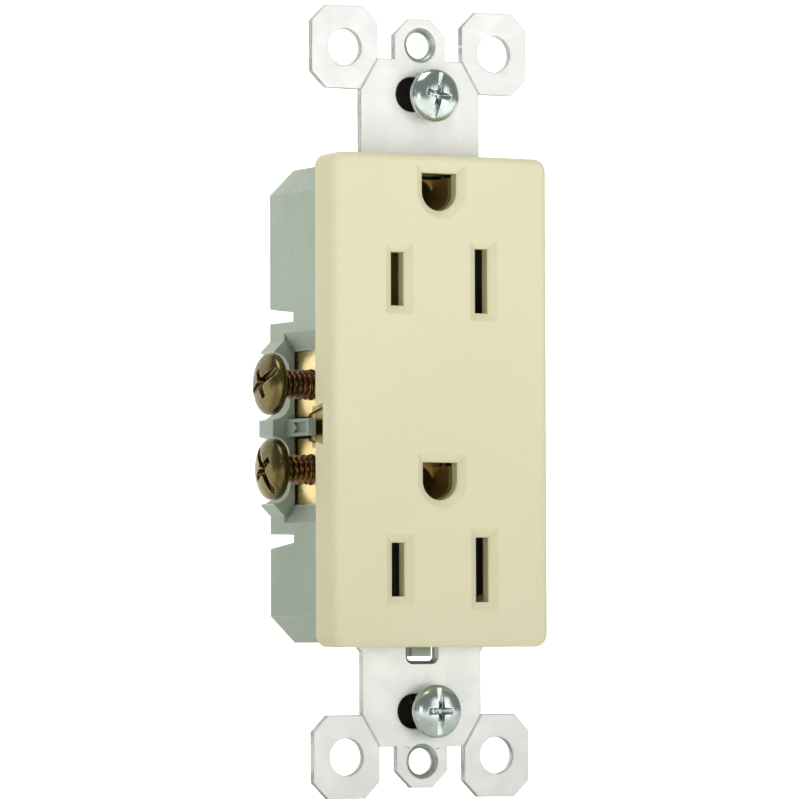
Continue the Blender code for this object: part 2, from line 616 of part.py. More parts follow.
def cut_recess(body, side, label):
    """The terminal recess in one side wall, and the slots and wire holes behind it."""
    floor = side * (cavity_half_width - BITE)
    wall = side * body_half_width
    reach = side * (body_half_width + WING_REACH + OVERSHOOT)
    run = RECESS_SLOPE * (abs(reach) - abs(floor)) / BODY_WALL
    loop = [(floor, pattern_z - RECESS_HALF), (reach, pattern_z - RECESS_HALF - run),
            (reach, pattern_z + RECESS_HALF + run), (floor, pattern_z + RECESS_HALF)]
    front = body_front - LIP_REACH - OVERSHOOT
    cut(body, outline_solid(f"recess_{label}", [loop], front, wing_front, "XZ"))
    for row, z_side in (("upper", 1), ("lower", -1)):
        z = pattern_z + z_side * release_from_centre
        back = BODY_DEPTH + OVERSHOOT
        front = BODY_DEPTH - RELEASE_DEPTH
        half = RELEASE_HEIGHT / 2
        loop = [(front, z - half), (back, z - half), (back, z + half + RELEASE_FLARE), (front, z + half)]
        if z_side < 0:
            loop = [(y, 2 * z - height) for y, height in loop]
        low, high = sorted((wall + side * OVERSHOOT, wall - side * RELEASE_WIDTH))
        cut(body, outline_solid(f"release_{label}_{row}", [loop], low, high, "YZ"))
        wire_z = pattern_z + z_side * wire_from_centre
        funnel = WIRE_HOLE_RADIUS + WIRE_FUNNEL + OVERSHOOT
        end = -BODY_WALL - OVERSHOOT
        profile = [(0, OVERSHOOT), (funnel, OVERSHOOT), (WIRE_HOLE_RADIUS, -WIRE_FUNNEL),
                   (WIRE_HOLE_RADIUS, end), (0, end)]
        cut(body, turned(f"wire_hole_{label}_{row}", profile, "back",
                         (side * wire_x, BODY_DEPTH, wire_z), steps=12))


def add_inner_walls(body, side, label):
    """The rib between the two terminals, the sill ahead of them and the walls behind the wire clips."""
    half = RIB_THICKNESS / 2
    outer = side * (body_half_width - RIB_SET_BACK)
    root = side * (cavity_half_width + PART_BITE)
    x_low, x_high = sorted((outer, root))
    join(body, box(f"rib_{label}", (x_low, RIB_FRONT, pattern_z - half),
                   (x_high, wing_front + BITE, pattern_z + half)))
    x_low, x_high = sorted((side * (cavity_half_width + BITE), side * (bus_inner - FIT)))
    join(body, box(f"divider_{label}", (x_low, TAB_BACK + FIT, pattern_z - half),
                   (x_high, cavity_back + BITE, pattern_z + half)))
    reach = RECESS_HALF + SILL_OVERLAP
    x_low, x_high = sorted((root, side * (cavity_half_width - SILL_THICKNESS)))
    join(body, box(f"sill_{label}", (x_low, FIT, pattern_z - reach),
                   (x_high, BUS_FRONT - FIT, pattern_z + reach)))
    for row, z_side in (("upper", 1), ("lower", -1)):
        z = pattern_z + z_side * wire_from_centre
        reach = CLIP_HEIGHT / 2
        x_low, x_high = sorted((side * clip_wall_x, side * (clip_wall_x + CLIP_WALL_THICKNESS)))
        join(body, box(f"clip_wall_{label}_{row}", (x_low, CLIP_WALL_FRONT, z - reach),
                       (x_high, cavity_back + BITE, z + reach)))


# ---- current-carrying strips
def notch_wing(body, side, label):
    """Open notches in the wing behind the two screw heads, with the rib's end left between them."""
    floor = side * (cavity_half_width + NOTCH_WALL)
    reach = side * (body_half_width + WING_REACH + NOTCH_CORNER + OVERSHOOT)
    x_low, x_high = sorted((floor, reach))
    half = TERMINAL_FROM_CENTRE - RIB_THICKNESS / 2
    for row, z_side in (("upper", 1), ("lower", -1)):
        z = pattern_z + z_side * TERMINAL_FROM_CENTRE
        loop = rectangle(x_low, x_high, z - half, z + half, NOTCH_CORNER)
        cut(body, outline_solid(f"wing_notch_{label}_{row}", [loop], wing_front - OVERSHOOT,
                                BODY_DEPTH + OVERSHOOT, "XZ"))


def build_bus(name, side, material):
    """A stamped strip: two terminal pads, the break-off tab between them and two pairs of contact leaves."""
    base_back = LEAF_BACK + BUS_THICKNESS
    link_end = wire_from_centre + CLIP_HEIGHT / 2 - LINK_SHORT
    upper = [(BUS_BACK, PAD_GAP_HALF), (BUS_BACK, link_end), (LINK_BACK, link_end),
             (LINK_BACK, contact_low), (base_back + BITE, contact_low), (base_back + BITE, bus_top),
             (BUS_FRONT, bus_top)]
    lower = [(y, -z) for y, z in reversed(upper)]
    loop = upper + lower + [(TAB_BACK, -PAD_GAP_HALF), (TAB_BACK, PAD_GAP_HALF)]
    loops = [[(y, pattern_z + z) for y, z in loop]]
    for z_side in (1, -1):
        loops.append(circle(TERMINAL_DEPTH, pattern_z + z_side * TERMINAL_FROM_CENTRE,
                            TERMINAL_SCREW[0] + THREAD_GAP))
    x_low, x_high = sorted((side * bus_inner, side * bus_outer))
    strip = outline_solid(name, loops, x_low, x_high, "YZ", material)
    for row, z in outlet_zs.items():
        x_low, x_high = sorted((side * (blade_x - LEAF_GAP / 2 - BITE), side * (bus_inner + BITE)))
        join(strip, box(f"{name}_foot_{row}", (x_low, LEAF_BACK, z - contact_half + BITE),
                        (x_high, base_back, z + contact_half - BITE)))
        for place_name, near in (("inner", -LEAF_GAP / 2 - LEAF_THICKNESS), ("outer", LEAF_GAP / 2)):
            x_low, x_high = sorted((side * (blade_x + near), side * (blade_x + near + LEAF_THICKNESS)))
            join(strip, box(f"{name}_leaf_{place_name}_{row}", (x_low, LEAF_FRONT, z - contact_half),
                            (x_high, base_back - BITE, z + contact_half)))
    # the break-off tab is thinned from outside, narrower at its back
    front, back = BUS_FRONT - OVERSHOOT, TAB_BACK + BITE
    loop = [(front, pattern_z - TAB_OUTER_HALF), (back, pattern_z - TAB_INNER_HALF),
            (back, pattern_z + TAB_INNER_HALF), (front, pattern_z + TAB_OUTER_HALF)]
    x_low, x_high = sorted((side * (bus_outer - TAB_SINK), side * (bus_outer + OVERSHOOT)))
    cut(strip, outline_solid(f"{name}_tab_sink", [loop], x_low, x_high, "YZ"))


def ribbon(path, thickness):
    """A closed outline round an open path, half the thickness to each side."""
    left, right = [], []
    for i, (u, v) in enumerate(path):
        before, after = path[max(i - 1, 0)], path[min(i + 1, len(path) - 1)]
        du, dv = after[0] - before[0], after[1] - before[1]
        length = math.hypot(du, dv)
        off_u, off_v = -dv / length * thickness / 2, du / length * thickness / 2
        left.append((u + off_u, v + off_v))
        right.append((u - off_u, v - off_v))
    return left + right[::-1]


def build_clip(name, side, z):
    """A bent leaf: its back leg lies on the body's wall, its tongue presses a wire on the strip."""
    leg_x = clip_wall_x + CLIP_WALL_THICKNESS + FIT + CLIP_THICKNESS / 2
    tongue_x = bus_inner - FIT - CLIP_THICKNESS
    path = [(leg_x, CLIP_LEG_BACK), (leg_x, CLIP_BEND_DEPTH)]
    path += arc(leg_x + CLIP_BEND_RADIUS, CLIP_BEND_DEPTH, CLIP_BEND_RADIUS, 180, 300, 5)[1:]
    path += [(tongue_x, CLIP_TIP_DEPTH)]
    path = [(side * x, y) for x, y in path]
    reach = CLIP_HEIGHT / 2 - FIT
    outline_solid(name, [ribbon(path, CLIP_THICKNESS)], z - reach, z + reach, "XY", spring_steel)


# ---- grounding pieces
def build_ground_strip():
    low = outlet_zs["lower"] + GROUND_RISE - GROUND_PIN_RADIUS - 2 * GROUND_WALL
    high = outlet_zs["upper"] + GROUND_RISE + GROUND_SIDE_RISE
    strip_front = FIT
    loops = [rectangle(-STRIP_HALF_WIDTH, STRIP_HALF_WIDTH, low, high, STRIP_CORNER, 3)]
    inner = GROUND_PIN_RADIUS + GROUND_PLAY
    opening = inner + GROUND_WALL / 2 - GROUND_OPENING_INSET
    for z in outlet_zs.values():
        loops.append(circle(0, z + GROUND_RISE - GROUND_OPENING_RISE, opening, 16))
    for z in rivet_heights():
        loops.append(circle(0, z, RIVET_RADIUS + FIT / 2, 12))
    strip = outline_solid("ground_contact_strip", loops, strip_front, strip_front + STRIP_THICKNESS, "XZ",
                          brass)
    for name, z in outlet_zs.items():
        centre = z + GROUND_RISE
        outer = inner + GROUND_WALL
        top = centre + GROUND_SIDE_RISE - BITE
        loop = [(-outer, top)] + arc(0, centre, outer, 180, 360, 12) + [(outer, top), (inner, top)]
        loop += arc(0, centre, inner, 360, 180, 12) + [(-inner, top)]
        join(strip, outline_solid(f"ground_channel_{name}", [loop], cover_face_back + GROUND_FRONT_GAP,
                                  GROUND_CHANNEL_BACK, "XZ"))


def build_rivet(name, z):
    front = FIT - strap_front
    back = -(FIT + STRIP_THICKNESS + FIT)
    head, radius = RIVET_HEAD_HEIGHT, RIVET_HEAD_RADIUS
    profile = [(0, front + head), (radius * RIVET_CROWN, front + head), (radius, front + head * RIVET_RIM),
               (radius, front), (RIVET_RADIUS, front), (RIVET_RADIUS, back), (radius, back),
               (radius, back - head), (0, back - head)]
    turned(name, profile, "front", (0, 0, z), brass, steps=12)


# ---- screws and washers
def screw_profile(size, dome):
    """Head on top, its underside at height 0, shank below; dome is the rounded share of the head."""
    shank, length, radius, height = size
    rim = height * (1 - dome)
    profile = [(0, height)]
    for i in range(1, DOME_STEPS + 1):
        turn = math.radians(90 * i / DOME_STEPS)
        profile.append((radius * math.sin(turn), rim + (height - rim) * math.cos(turn)))
    profile += [(radius * HEAD_SEAT, 0), (shank, 0), (shank, SHANK_CHAMFER - length),
                (shank - SHANK_CHAMFER, -length), (0, -length)]
    return profile


def build_screw(name, size, facing, location, material, turn=0.0, cross=True, dome=PAN_DOME):
    screw = turned(name, screw_profile(size, dome), facing, location, material)
    height, radius = size[3], size[2]
    slot_low = height - DRIVE_DEPTH
    half = DRIVE_SLOT / 2
    reach = radius + OVERSHOOT
    for i, length in enumerate((reach, radius * CROSS_SHARE) if cross else (reach,)):
        slot = box(f"{name}_drive_{i}", (-length, -half, slot_low - i * CROSS_DEEPER),
                   (length, half, height + OVERSHOOT))
        spin = Matrix.Rotation(turn + math.radians(90 * i), 4, "Z")
        slot.matrix_world = Matrix.Translation(location) @ FACING[facing] @ spin
        cut(screw, slot)
    return screw


def build_ground_screw():
    x = strap_inner_half + FIT + GROUND_BACKED_OUT
    spot = (x, GROUND_SCREW_DEPTH, ground_screw_z)
    turn = math.radians(60)
    screw = build_screw("ground_screw", GROUND_SCREW, "right", spot, green, turn, False, HEX_DOME)
    hexagon = circle(0, 0, GROUND_SCREW[2] + HEX_ROUND, 6)
    inner = circle(0, 0, HEX_FLAT_RADIUS, 6)
    top = GROUND_SCREW[3] + OVERSHOOT
    flats = outline_solid("ground_screw_flats", [hexagon, inner], HEX_FLANGE, top, "XY")
    flats.matrix_world = Matrix.Translation(spot) @ FACING["right"] @ flats.matrix_world
    cut(screw, flats)


def build_mounting_set(row, side, sag):
    """A captive mounting screw and its retaining washer, which slide together through the slot."""
    z = side * box_screw_z - sag
    x = MOUNTING_SIDE_SHIFT
    turn = math.radians(98 if side > 0 else 90)
    spot = (x, strap_front - MOUNTING_PROUD, z)
    build_screw(f"{row}_mounting_screw", MOUNTING_SCREW, "front", spot, zinc, turn)
    bore = MOUNTING_SCREW[0] + THREAD_GAP
    profile = [(bore, 0), (WASHER_RADIUS, 0), (WASHER_RADIUS, -WASHER_THICKNESS), (bore, -WASHER_THICKNESS),
               (bore, 0)]
    turned(f"{row}_screw_retainer", profile, "front", (x, FIT, z), fibre)


build_strap()
build_cover()
build_body()
build_bus("hot_bus", -1, brass)
build_bus("neutral_bus", 1, silver)
build_ground_strip()
for row, z in zip(("upper", "lower"), rivet_heights()):
    build_rivet(f"{row}_ground_rivet", z)
for row, side, sag in (("upper", 1, UPPER_SCREW_SAG), ("lower", -1, 0.0)):
    build_mounting_set(row, side, sag)
    height = pattern_z + side * TERMINAL_FROM_CENTRE
    out = UPPER_BACKED_OUT if row == "upper" else LOWER_BACKED_OUT
    hot_turn = math.radians(115 if row == "upper" else 35)
    build_screw(f"{row}_hot_screw", TERMINAL_SCREW, "left", (-bus_outer - out, TERMINAL_DEPTH, height),
                aged_brass, hot_turn)
    build_screw(f"{row}_neutral_screw", TERMINAL_SCREW, "right", (bus_outer + out, TERMINAL_DEPTH, height),
                silver, -hot_turn)
    for column, x_side in (("hot", -1), ("neutral", 1)):
        build_clip(f"{row}_{column}_wire_clip", x_side, pattern_z + side * wire_from_centre)
for label, x, z in corners():
    build_screw(f"{label}_assembly_screw", ASSEMBLY_SCREW, "back", (x, head_seat + FIT, z), zinc)
build_ground_screw()
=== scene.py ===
import math

import bmesh
import bpy
from mathutils import Matrix, Vector


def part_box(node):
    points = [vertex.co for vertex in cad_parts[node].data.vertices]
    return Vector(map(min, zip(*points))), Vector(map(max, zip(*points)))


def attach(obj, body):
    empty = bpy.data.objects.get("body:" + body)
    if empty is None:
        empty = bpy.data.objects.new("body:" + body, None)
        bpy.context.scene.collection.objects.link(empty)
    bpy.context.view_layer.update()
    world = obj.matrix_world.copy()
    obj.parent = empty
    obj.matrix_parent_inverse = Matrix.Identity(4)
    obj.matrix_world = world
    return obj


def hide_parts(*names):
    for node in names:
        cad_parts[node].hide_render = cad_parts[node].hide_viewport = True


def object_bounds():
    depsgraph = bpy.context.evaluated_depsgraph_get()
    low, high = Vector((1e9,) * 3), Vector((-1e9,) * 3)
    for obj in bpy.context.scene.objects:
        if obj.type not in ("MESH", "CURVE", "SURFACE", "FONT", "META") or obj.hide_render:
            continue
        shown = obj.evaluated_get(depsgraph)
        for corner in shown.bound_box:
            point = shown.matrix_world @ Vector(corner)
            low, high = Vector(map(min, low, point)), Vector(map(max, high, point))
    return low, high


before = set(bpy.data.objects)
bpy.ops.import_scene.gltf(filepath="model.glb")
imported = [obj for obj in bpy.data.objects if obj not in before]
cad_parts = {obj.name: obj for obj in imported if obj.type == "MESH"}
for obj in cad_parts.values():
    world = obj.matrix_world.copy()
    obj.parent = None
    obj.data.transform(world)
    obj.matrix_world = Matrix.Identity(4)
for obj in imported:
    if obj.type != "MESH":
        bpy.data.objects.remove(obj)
cadLow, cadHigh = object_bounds()
scene = bpy.context.scene
mm = 0.001
past = 1.0  # how far a cutter stands past the face that it opens, in millimetres


# modelling kit: shapes are drawn in millimetres, and finishPiece scales them down
def cadBox(node):
    low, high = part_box(node)
    return low / mm, high / mm


def objectFrom(name, shape):
    bmesh.ops.recalc_face_normals(shape, faces=shape.faces)
    mesh = bpy.data.meshes.new(name)
    shape.to_mesh(mesh)
    shape.free()
    thing = bpy.data.objects.new(name, mesh)
    scene.collection.objects.link(thing)
    return thing


# a working copy of a framed part's shape, with its flat faces made whole again
def fromNode(node, name):
    shape = bmesh.new()
    shape.from_mesh(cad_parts[node].data)
    bmesh.ops.scale(shape, vec=(1 / mm,) * 3, verts=shape.verts)
    bmesh.ops.remove_doubles(shape, verts=shape.verts, dist=0.001)
    bmesh.ops.dissolve_limit(shape, angle_limit=math.radians(0.5), verts=shape.verts, edges=shape.edges)
    return objectFrom(name, shape)


def arc(u, v, radius, start, end, steps):
    angles = [math.radians(start + (end - start) * i / steps) for i in range(steps + 1)]
    return [(u + radius * math.cos(a), v + radius * math.sin(a)) for a in angles]


def circle(u, v, radius, steps=48):
    return arc(u, v, radius, 0, 360, steps)[:-1]


def roundedBox(u0, u1, v0, v1, radius=0, steps=8):
    if radius <= 0:
        return [(u0, v0), (u1, v0), (u1, v1), (u0, v1)]
    loop = arc(u1 - radius, v0 + radius, radius, -90, 0, steps)
    loop += arc(u1 - radius, v1 - radius, radius, 0, 90, steps)
    loop += arc(u0 + radius, v1 - radius, radius, 90, 180, steps)
    return loop + arc(u0 + radius, v0 + radius, radius, 180, 270, steps)


# a quarter outline, from the upright axis to the level one, made whole
def mirroredLoop(quarter):
    right = quarter + [(u, -v) for u, v in reversed(quarter)]
    return right + [(-u, v) for u, v in reversed(right)]


# where a drawn (u, v) and its height w lie: face on, from the side, or from above
planes = {
    "face": lambda u, v, w: (u, w, v),
    "side": lambda u, v, w: (w, u, v),
    "top": lambda u, v, w: (u, v, w),
}


# faces round between two rows of corners
def join(shape, near, far):
    for i in range(len(near)):
        j = (i + 1) % len(near)
        shape.faces.new((near[i], near[j], far[j], far[i]))


# rings holds (loop, height) pairs whose loops all have the same count
def loft(name, rings, plane="face"):
    shape = bmesh.new()
    put = planes[plane]
    rows = [[shape.verts.new(put(u, v, w)) for u, v in loop] for loop, w in rings]
    for near, far in zip(rows, rows[1:]):
        join(shape, near, far)
    shape.faces.new(rows[0])
    shape.faces.new(rows[-1])
    return objectFrom(name, shape)


def slab(name, loop, low, high, plane="face"):
    return loft(name, [(loop, low), (loop, high)], plane)


# sheet metal: an outline with its holes, the punched edges rolled over
def stamping(name, loops, low, high, edge, plane="face"):
    curve = bpy.data.curves.new(name, "CURVE")
    curve.dimensions = "2D"
    curve.fill_mode = "BOTH"
    curve.bevel_depth = edge
    curve.bevel_resolution = 2
    curve.offset = -edge
    curve.extrude = (high - low) / 2 - edge
    for loop in loops:
        spline = curve.splines.new("POLY")
        spline.points.add(len(loop) - 1)
        for point, (u, v) in zip(spline.points, loop):
            point.co = (u, v, 0, 1)
        spline.use_cyclic_u = True
    drawn = bpy.data.objects.new(name, curve)
    scene.collection.objects.link(drawn)
    shape = bmesh.new()
    shape.from_mesh(meshOf(drawn))
    bpy.data.objects.remove(drawn)
    bmesh.ops.remove_doubles(shape, verts=shape.verts, dist=0.001)
    middle = (low + high) / 2
    for vertex in shape.verts:
        vertex.co = planes[plane](vertex.co.x, vertex.co.y, vertex.co.z + middle)
    return objectFrom(name, shape)


# a profile of (radius, height) pairs, from the top of the axis to its foot, turned round Z
def turned(name, profile, steps=64):
    shape = bmesh.new()
    rows = []
    for radius, height in profile:
        if radius == 0:
            rows.append([shape.verts.new((0, 0, height))])
        else:
            rows.append([shape.verts.new((u, v, height)) for u, v in circle(0, 0, radius, steps)])
    for near, far in zip(rows, rows[1:]):
        for i in range(steps):
            j = (i + 1) % steps
            corners = [near[i % len(near)], near[j % len(near)], far[j % len(far)], far[i % len(far)]]
            shape.faces.new(list(dict.fromkeys(corners)))
    return objectFrom(name, shape)


# the same for a profile that closes on itself round a hole
def ringed(name, profile, steps=64):
    shape = bmesh.new()
    rows = []
    for radius, height in profile:
        rows.append([shape.verts.new((u, v, height)) for u, v in circle(0, 0, radius, steps)])
    for near, far in zip(rows, rows[1:] + rows[:1]):
        join(shape, near, far)
    return objectFrom(name, shape)


def meshOf(thing):
    return bpy.data.meshes.new_from_object(thing.evaluated_get(bpy.context.evaluated_depsgraph_get()))


# puts a piece's modifiers and its place into its mesh
def bakeDown(thing):
    bpy.context.view_layer.update()
    made = meshOf(thing)
    made.transform(thing.matrix_world)
    thing.modifiers.clear()
    thing.matrix_world = Matrix.Identity(4)
    thing.data = made
    return thing


def combine(target, tools, operation="DIFFERENCE"):
    for tool in tools:
        modifier = target.modifiers.new(tool.name, "BOOLEAN")
        modifier.operation = operation
        modifier.solver = "EXACT"
        modifier.object = tool
    bakeDown(target)
    for tool in tools:
        bpy.data.objects.remove(tool)
    return target


def softenEdges(thing, width, segments=2, angle=32):
    modifier = thing.modifiers.new("soften", "BEVEL")
    modifier.width = width
    modifier.segments = segments
    modifier.limit_method = "ANGLE"
    modifier.angle_limit = math.radians(angle)
    modifier.miter_outer = "MITER_ARC"
    modifier.use_clamp_overlap = True
    return bakeDown(thing)


def spin(degrees, axis="Z"):
    return Matrix.Rotation(math.radians(degrees), 4, axis)


def moved(thing, matrix):
    thing.matrix_world = matrix @ thing.matrix_world
    return bakeDown(thing)


# scales a piece to metres, shades it and hands it to the frame
def finishPiece(thing, material, body, stands, angle=34):
    thing.data.transform(Matrix.Scale(mm, 4))
    thing.data.materials.clear()
    thing.data.materials.append(material)
    thing.data.shade_smooth()
    thing.data.set_sharp_from_angle(angle=math.radians(angle))
    weighted = thing.modifiers.new("even", "WEIGHTED_NORMAL")
    weighted.keep_sharp = True
    weighted.weight = 90
    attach(thing, body)
    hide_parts(*stands)
    return thing


# shared effects: an empty node group, and the sockets inside it that its inputs and outputs use
def effect(name, settings, results):
    group = bpy.data.node_groups.new(name, "ShaderNodeTree")
    group.interface.new_socket(name="Vector", in_out="INPUT", socket_type="NodeSocketVector")
    for label, value in settings.items():
        socket = group.interface.new_socket(name=label, in_out="INPUT", socket_type="NodeSocketFloat")
        socket.default_value = value
    for label in results:
        group.interface.new_socket(name=label, in_out="OUTPUT", socket_type="NodeSocketFloat")
    given, result = group.nodes.new("NodeGroupInput"), group.nodes.new("NodeGroupOutput")
    return group, given.outputs, result.inputs


# a fixed value, or what another node puts out, into a socket
def feed(tree, socket, value):
    if isinstance(value, bpy.types.NodeSocket):
        tree.links.new(value, socket)
    else:
        socket.default_value = value


def calculate(tree, operation, *values, kind="Math", output=0):
    node = tree.nodes.new("ShaderNode" + kind)
    node.operation = operation
    for socket, value in zip(node.inputs, values):
        feed(tree, socket, value)
    return node.outputs[output]


def remap(tree, value, low, high, toLow=0.0, toHigh=1.0, smooth=True):
    node = tree.nodes.new("ShaderNodeMapRange")
    node.interpolation_type = "SMOOTHSTEP" if smooth else "LINEAR"
    for socket, given in zip(node.inputs, (value, low, high, toLow, toHigh)):
        feed(tree, socket, given)
    return node.outputs["Result"]


def noiseNode(tree, vector, scale, detail=3.0, rough=0.55):
    node = tree.nodes.new("ShaderNodeTexNoise")
    for label, value in (("Vector", vector), ("Scale", scale), ("Detail", detail), ("Roughness", rough)):
        feed(tree, node.inputs[label], value)
    return node.outputs["Fac"]


# fine texture: a value that wanders between 0 and 1 at one scale
def makeGrain():
    group, given, result = effect("fineGrain", {"Scale": 1000.0}, ["Value"])
    value = noiseNode(group, given["Vector"], given["Scale"], 4.0, 0.6)
    group.links.new(remap(group, value, 0.32, 0.68), result["Value"])
    return group


# broad soft patches, as handling and storage leave them
def makeSmudge():
    group, given, result = effect("handlingSmudge", {"Scale": 90.0}, ["Mask"])
    broad = noiseNode(group, given["Vector"], given["Scale"], 2.0, 0.5)
    finer = calculate(group, "MULTIPLY", given["Scale"], 7.0)
    fine = noiseNode(group, given["Vector"], finer, 3.0, 0.6)
    mostly = calculate(group, "MULTIPLY", broad, 0.75)
    partly = calculate(group, "MULTIPLY", fine, 0.25)
    group.links.new(remap(group, calculate(group, "ADD", mostly, partly), 0.42, 0.62), result["Mask"])
    return group


# thin marks drawn out along one way by the mapping that feeds it
def makeScratch():
    group, given, result = effect("drawnScratch", {"Scale": 300.0, "Amount": 0.5}, ["Mask"])
    lines = noiseNode(group, given["Vector"], given["Scale"], 5.0, 0.72)
    edge = calculate(group, "SUBTRACT", 0.72, calculate(group, "MULTIPLY", given["Amount"], 0.2))
    group.links.new(remap(group, lines, edge, calculate(group, "ADD", edge, 0.06)), result["Mask"])
    return group


# bright where an outer edge has been rubbed
def makeEdgeWear():
    group, given, result = effect("edgeWear", {"Radius": 0.0003, "Amount": 1.0}, ["Mask"])
    rounded = group.nodes.new("ShaderNodeBevel")
    rounded.samples = 6
    group.links.new(given["Radius"], rounded.inputs["Radius"])
    surface = group.nodes.new("ShaderNodeNewGeometry")
    normals = (rounded.outputs["Normal"], surface.outputs["Normal"])
    agree = calculate(group, "DOT_PRODUCT", *normals, kind="VectorMath", output="Value")
    turn = calculate(group, "SUBTRACT", 1.0, agree)
    patchy = noiseNode(group, given["Vector"], 700.0, 3.0, 0.6)
    steep = calculate(group, "MULTIPLY", turn, 6.0)
    worn = calculate(group, "MULTIPLY", steep, remap(group, patchy, 0.3, 0.7, 0.25))
    limited = group.nodes.new("ShaderNodeClamp")
    group.links.new(calculate(group, "MULTIPLY", worn, given["Amount"]), limited.inputs["Value"])
    group.links.new(limited.outputs["Result"], result["Mask"])
    return group


# dark settled dirt and painted shade where a surface is shut in, both read from ambient occlusion
def makeGrimeAndShade():
    group, given, result = effect("recessGrimeAndShade", {"Reach": 0.0008, "Amount": 1.0}, ["Mask"])
    shut = group.nodes.new("ShaderNodeAmbientOcclusion")
    shut.samples = 6
    group.links.new(given["Reach"], shut.inputs["Distance"])
    closed = calculate(group, "SUBTRACT", 1.0, shut.outputs["AO"])
    patchy = noiseNode(group, given["Vector"], 500.0, 3.0, 0.6)
    closed = remap(group, closed, 0.15, 0.75)
    spread = calculate(group, "MULTIPLY", closed, remap(group, patchy, 0.25, 0.7, 0.4))
    group.links.new(calculate(group, "MULTIPLY", spread, given["Amount"]), result["Mask"])
    return group


# zinc crystals: each flake has its own tone
def makeSpangle():
    group, given, result = effect("zincSpangle", {"Scale": 500.0}, ["Value"])
    warp = noiseNode(group, given["Vector"], 900.0, 2.0, 0.5)
    pushed = calculate(group, "MULTIPLY_ADD", warp, (0.0006,) * 3, given["Vector"], kind="VectorMath")
    flakes = group.nodes.new("ShaderNodeTexVoronoi")
    group.links.new(pushed, flakes.inputs["Vector"])
    group.links.new(given["Scale"], flakes.inputs["Scale"])
    tone = group.nodes.new("ShaderNodeSeparateColor")
    group.links.new(flakes.outputs["Color"], tone.inputs["Color"])
    group.links.new(tone.outputs["Red"], result["Value"])
    return group


# one inside a half width measured from the middle along one axis, nought outside it
def makeCovered():
    group, given, result = effect("coveredMiddle", {"Half": 0.0325, "Blur": 0.0004}, ["Mask"])
    apart = calculate(group, "LENGTH", given["Vector"], kind="VectorMath", output="Value")
    outer = calculate(group, "ADD", given["Half"], given["Blur"])
    group.links.new(remap(group, apart, given["Half"], outer, 1.0, 0.0), result["Mask"])
    return group


effects = {
    "covered": makeCovered(),
    "grain": makeGrain(),
    "smudge": makeSmudge(),
    "scratch": makeScratch(),
    "wear": makeEdgeWear(),
    "grimeAndShade": makeGrimeAndShade(),
    "spangle": makeSpangle(),
}
print("shared effects made")


# a colour given as 0-255 screen values, as the linear value a shader takes
def tint(red, green, blue):
    parts = (red / 255, green / 255, blue / 255)
    return tuple(part / 12.92 if part <= 0.04 else ((part + 0.055) / 1.055) ** 2.4 for part in parts)


# a material being made: its tree, its shader and the places its effects read
class Finish:
    def __init__(self, name, metallic=0.0, specular=0.5, drawn=(1, 1, 1)):
        self.material = bpy.data.materials.new(name)
        self.material.use_nodes = True
        self.tree = self.material.node_tree
        self.shader = self.tree.nodes["Principled BSDF"]
        self.fixed("Metallic", metallic)
        self.fixed("Specular IOR Level", specular)
        self.where = self.tree.nodes.new("ShaderNodeTexCoord").outputs["Object"]
        mapping = self.tree.nodes.new("ShaderNodeMapping")
        mapping.inputs["Scale"].default_value = drawn
        self.tree.links.new(self.where, mapping.inputs["Vector"])
        self.drawn = mapping.outputs["Vector"]

    # how far a point lies along one axis from start, which is in millimetres
    def along(self, axis, start=0.0):
        offset = [-start * mm * part for part in axis]
        return calculate(self.tree, "MULTIPLY_ADD", self.where, axis, offset, kind="VectorMath")

    def use(self, name, where=None, drawn=False, **values):
        node = self.tree.nodes.new("ShaderNodeGroup")
        node.node_tree = effects[name]
        self.tree.links.new(where or (self.drawn if drawn else self.where), node.inputs["Vector"])
        for label, value in values.items():
            node.inputs[label].default_value = value
        return node.outputs[0]

    # goes from first to second with the mask; either may be a colour or another blend
    def blend(self, mask, first, second):
        node = self.tree.nodes.new("ShaderNodeMix")
        node.data_type = "RGBA"
        self.tree.links.new(mask, node.inputs["Factor"])
        for label, colour in (("A", first), ("B", second)):
            socket = [s for s in node.inputs if s.name == label and s.type == "RGBA"][0]
            feed(self.tree, socket, (*colour, 1.0) if isinstance(colour, tuple) else colour)
        return [s for s in node.outputs if s.type == "RGBA"][0]

    def fixed(self, label, value):
        self.shader.inputs[label].default_value = value

    def scaled(self, mask, amount):
        return calculate(self.tree, "MULTIPLY", mask, amount)

    def colour(self, socket):
        self.tree.links.new(socket, self.shader.inputs["Base Color"])

    def roughness(self, low, high, *masks):
        total = masks[0]
        for mask in masks[1:]:
            total = calculate(self.tree, "ADD", total, mask)
        self.tree.links.new(remap(self.tree, total, 0.0, float(len(masks)), low, high, False),
                            self.shader.inputs["Roughness"])

    # each height is (socket, share); distance is in millimetres
    def bump(self, distance, *heights):
        total = None
        for socket, share in heights:
            part = calculate(self.tree, "MULTIPLY", socket, share)
            total = part if total is None else calculate(self.tree, "ADD", total, part)
        node = self.tree.nodes.new("ShaderNodeBump")
        node.inputs["Distance"].default_value = distance * mm
        self.tree.links.new(total, node.inputs["Height"])
        self.tree.links.new(node.outputs["Normal"], self.shader.inputs["Normal"])


# where everything sits, read from the frame
coverLow, coverHigh = cadBox("face_cover")
bodyHigh = cadBox("back_body")[1]
pattern = {"drop": 3.22, "outletGap": 38.9, "bladeGap": 12.7, "groundRise": 11.89}
outlets = {
    "upper": -pattern["drop"] + pattern["outletGap"] / 2,
    "lower": -pattern["drop"] - pattern["outletGap"] / 2,
}
bladeX = pattern["bladeGap"] / 2


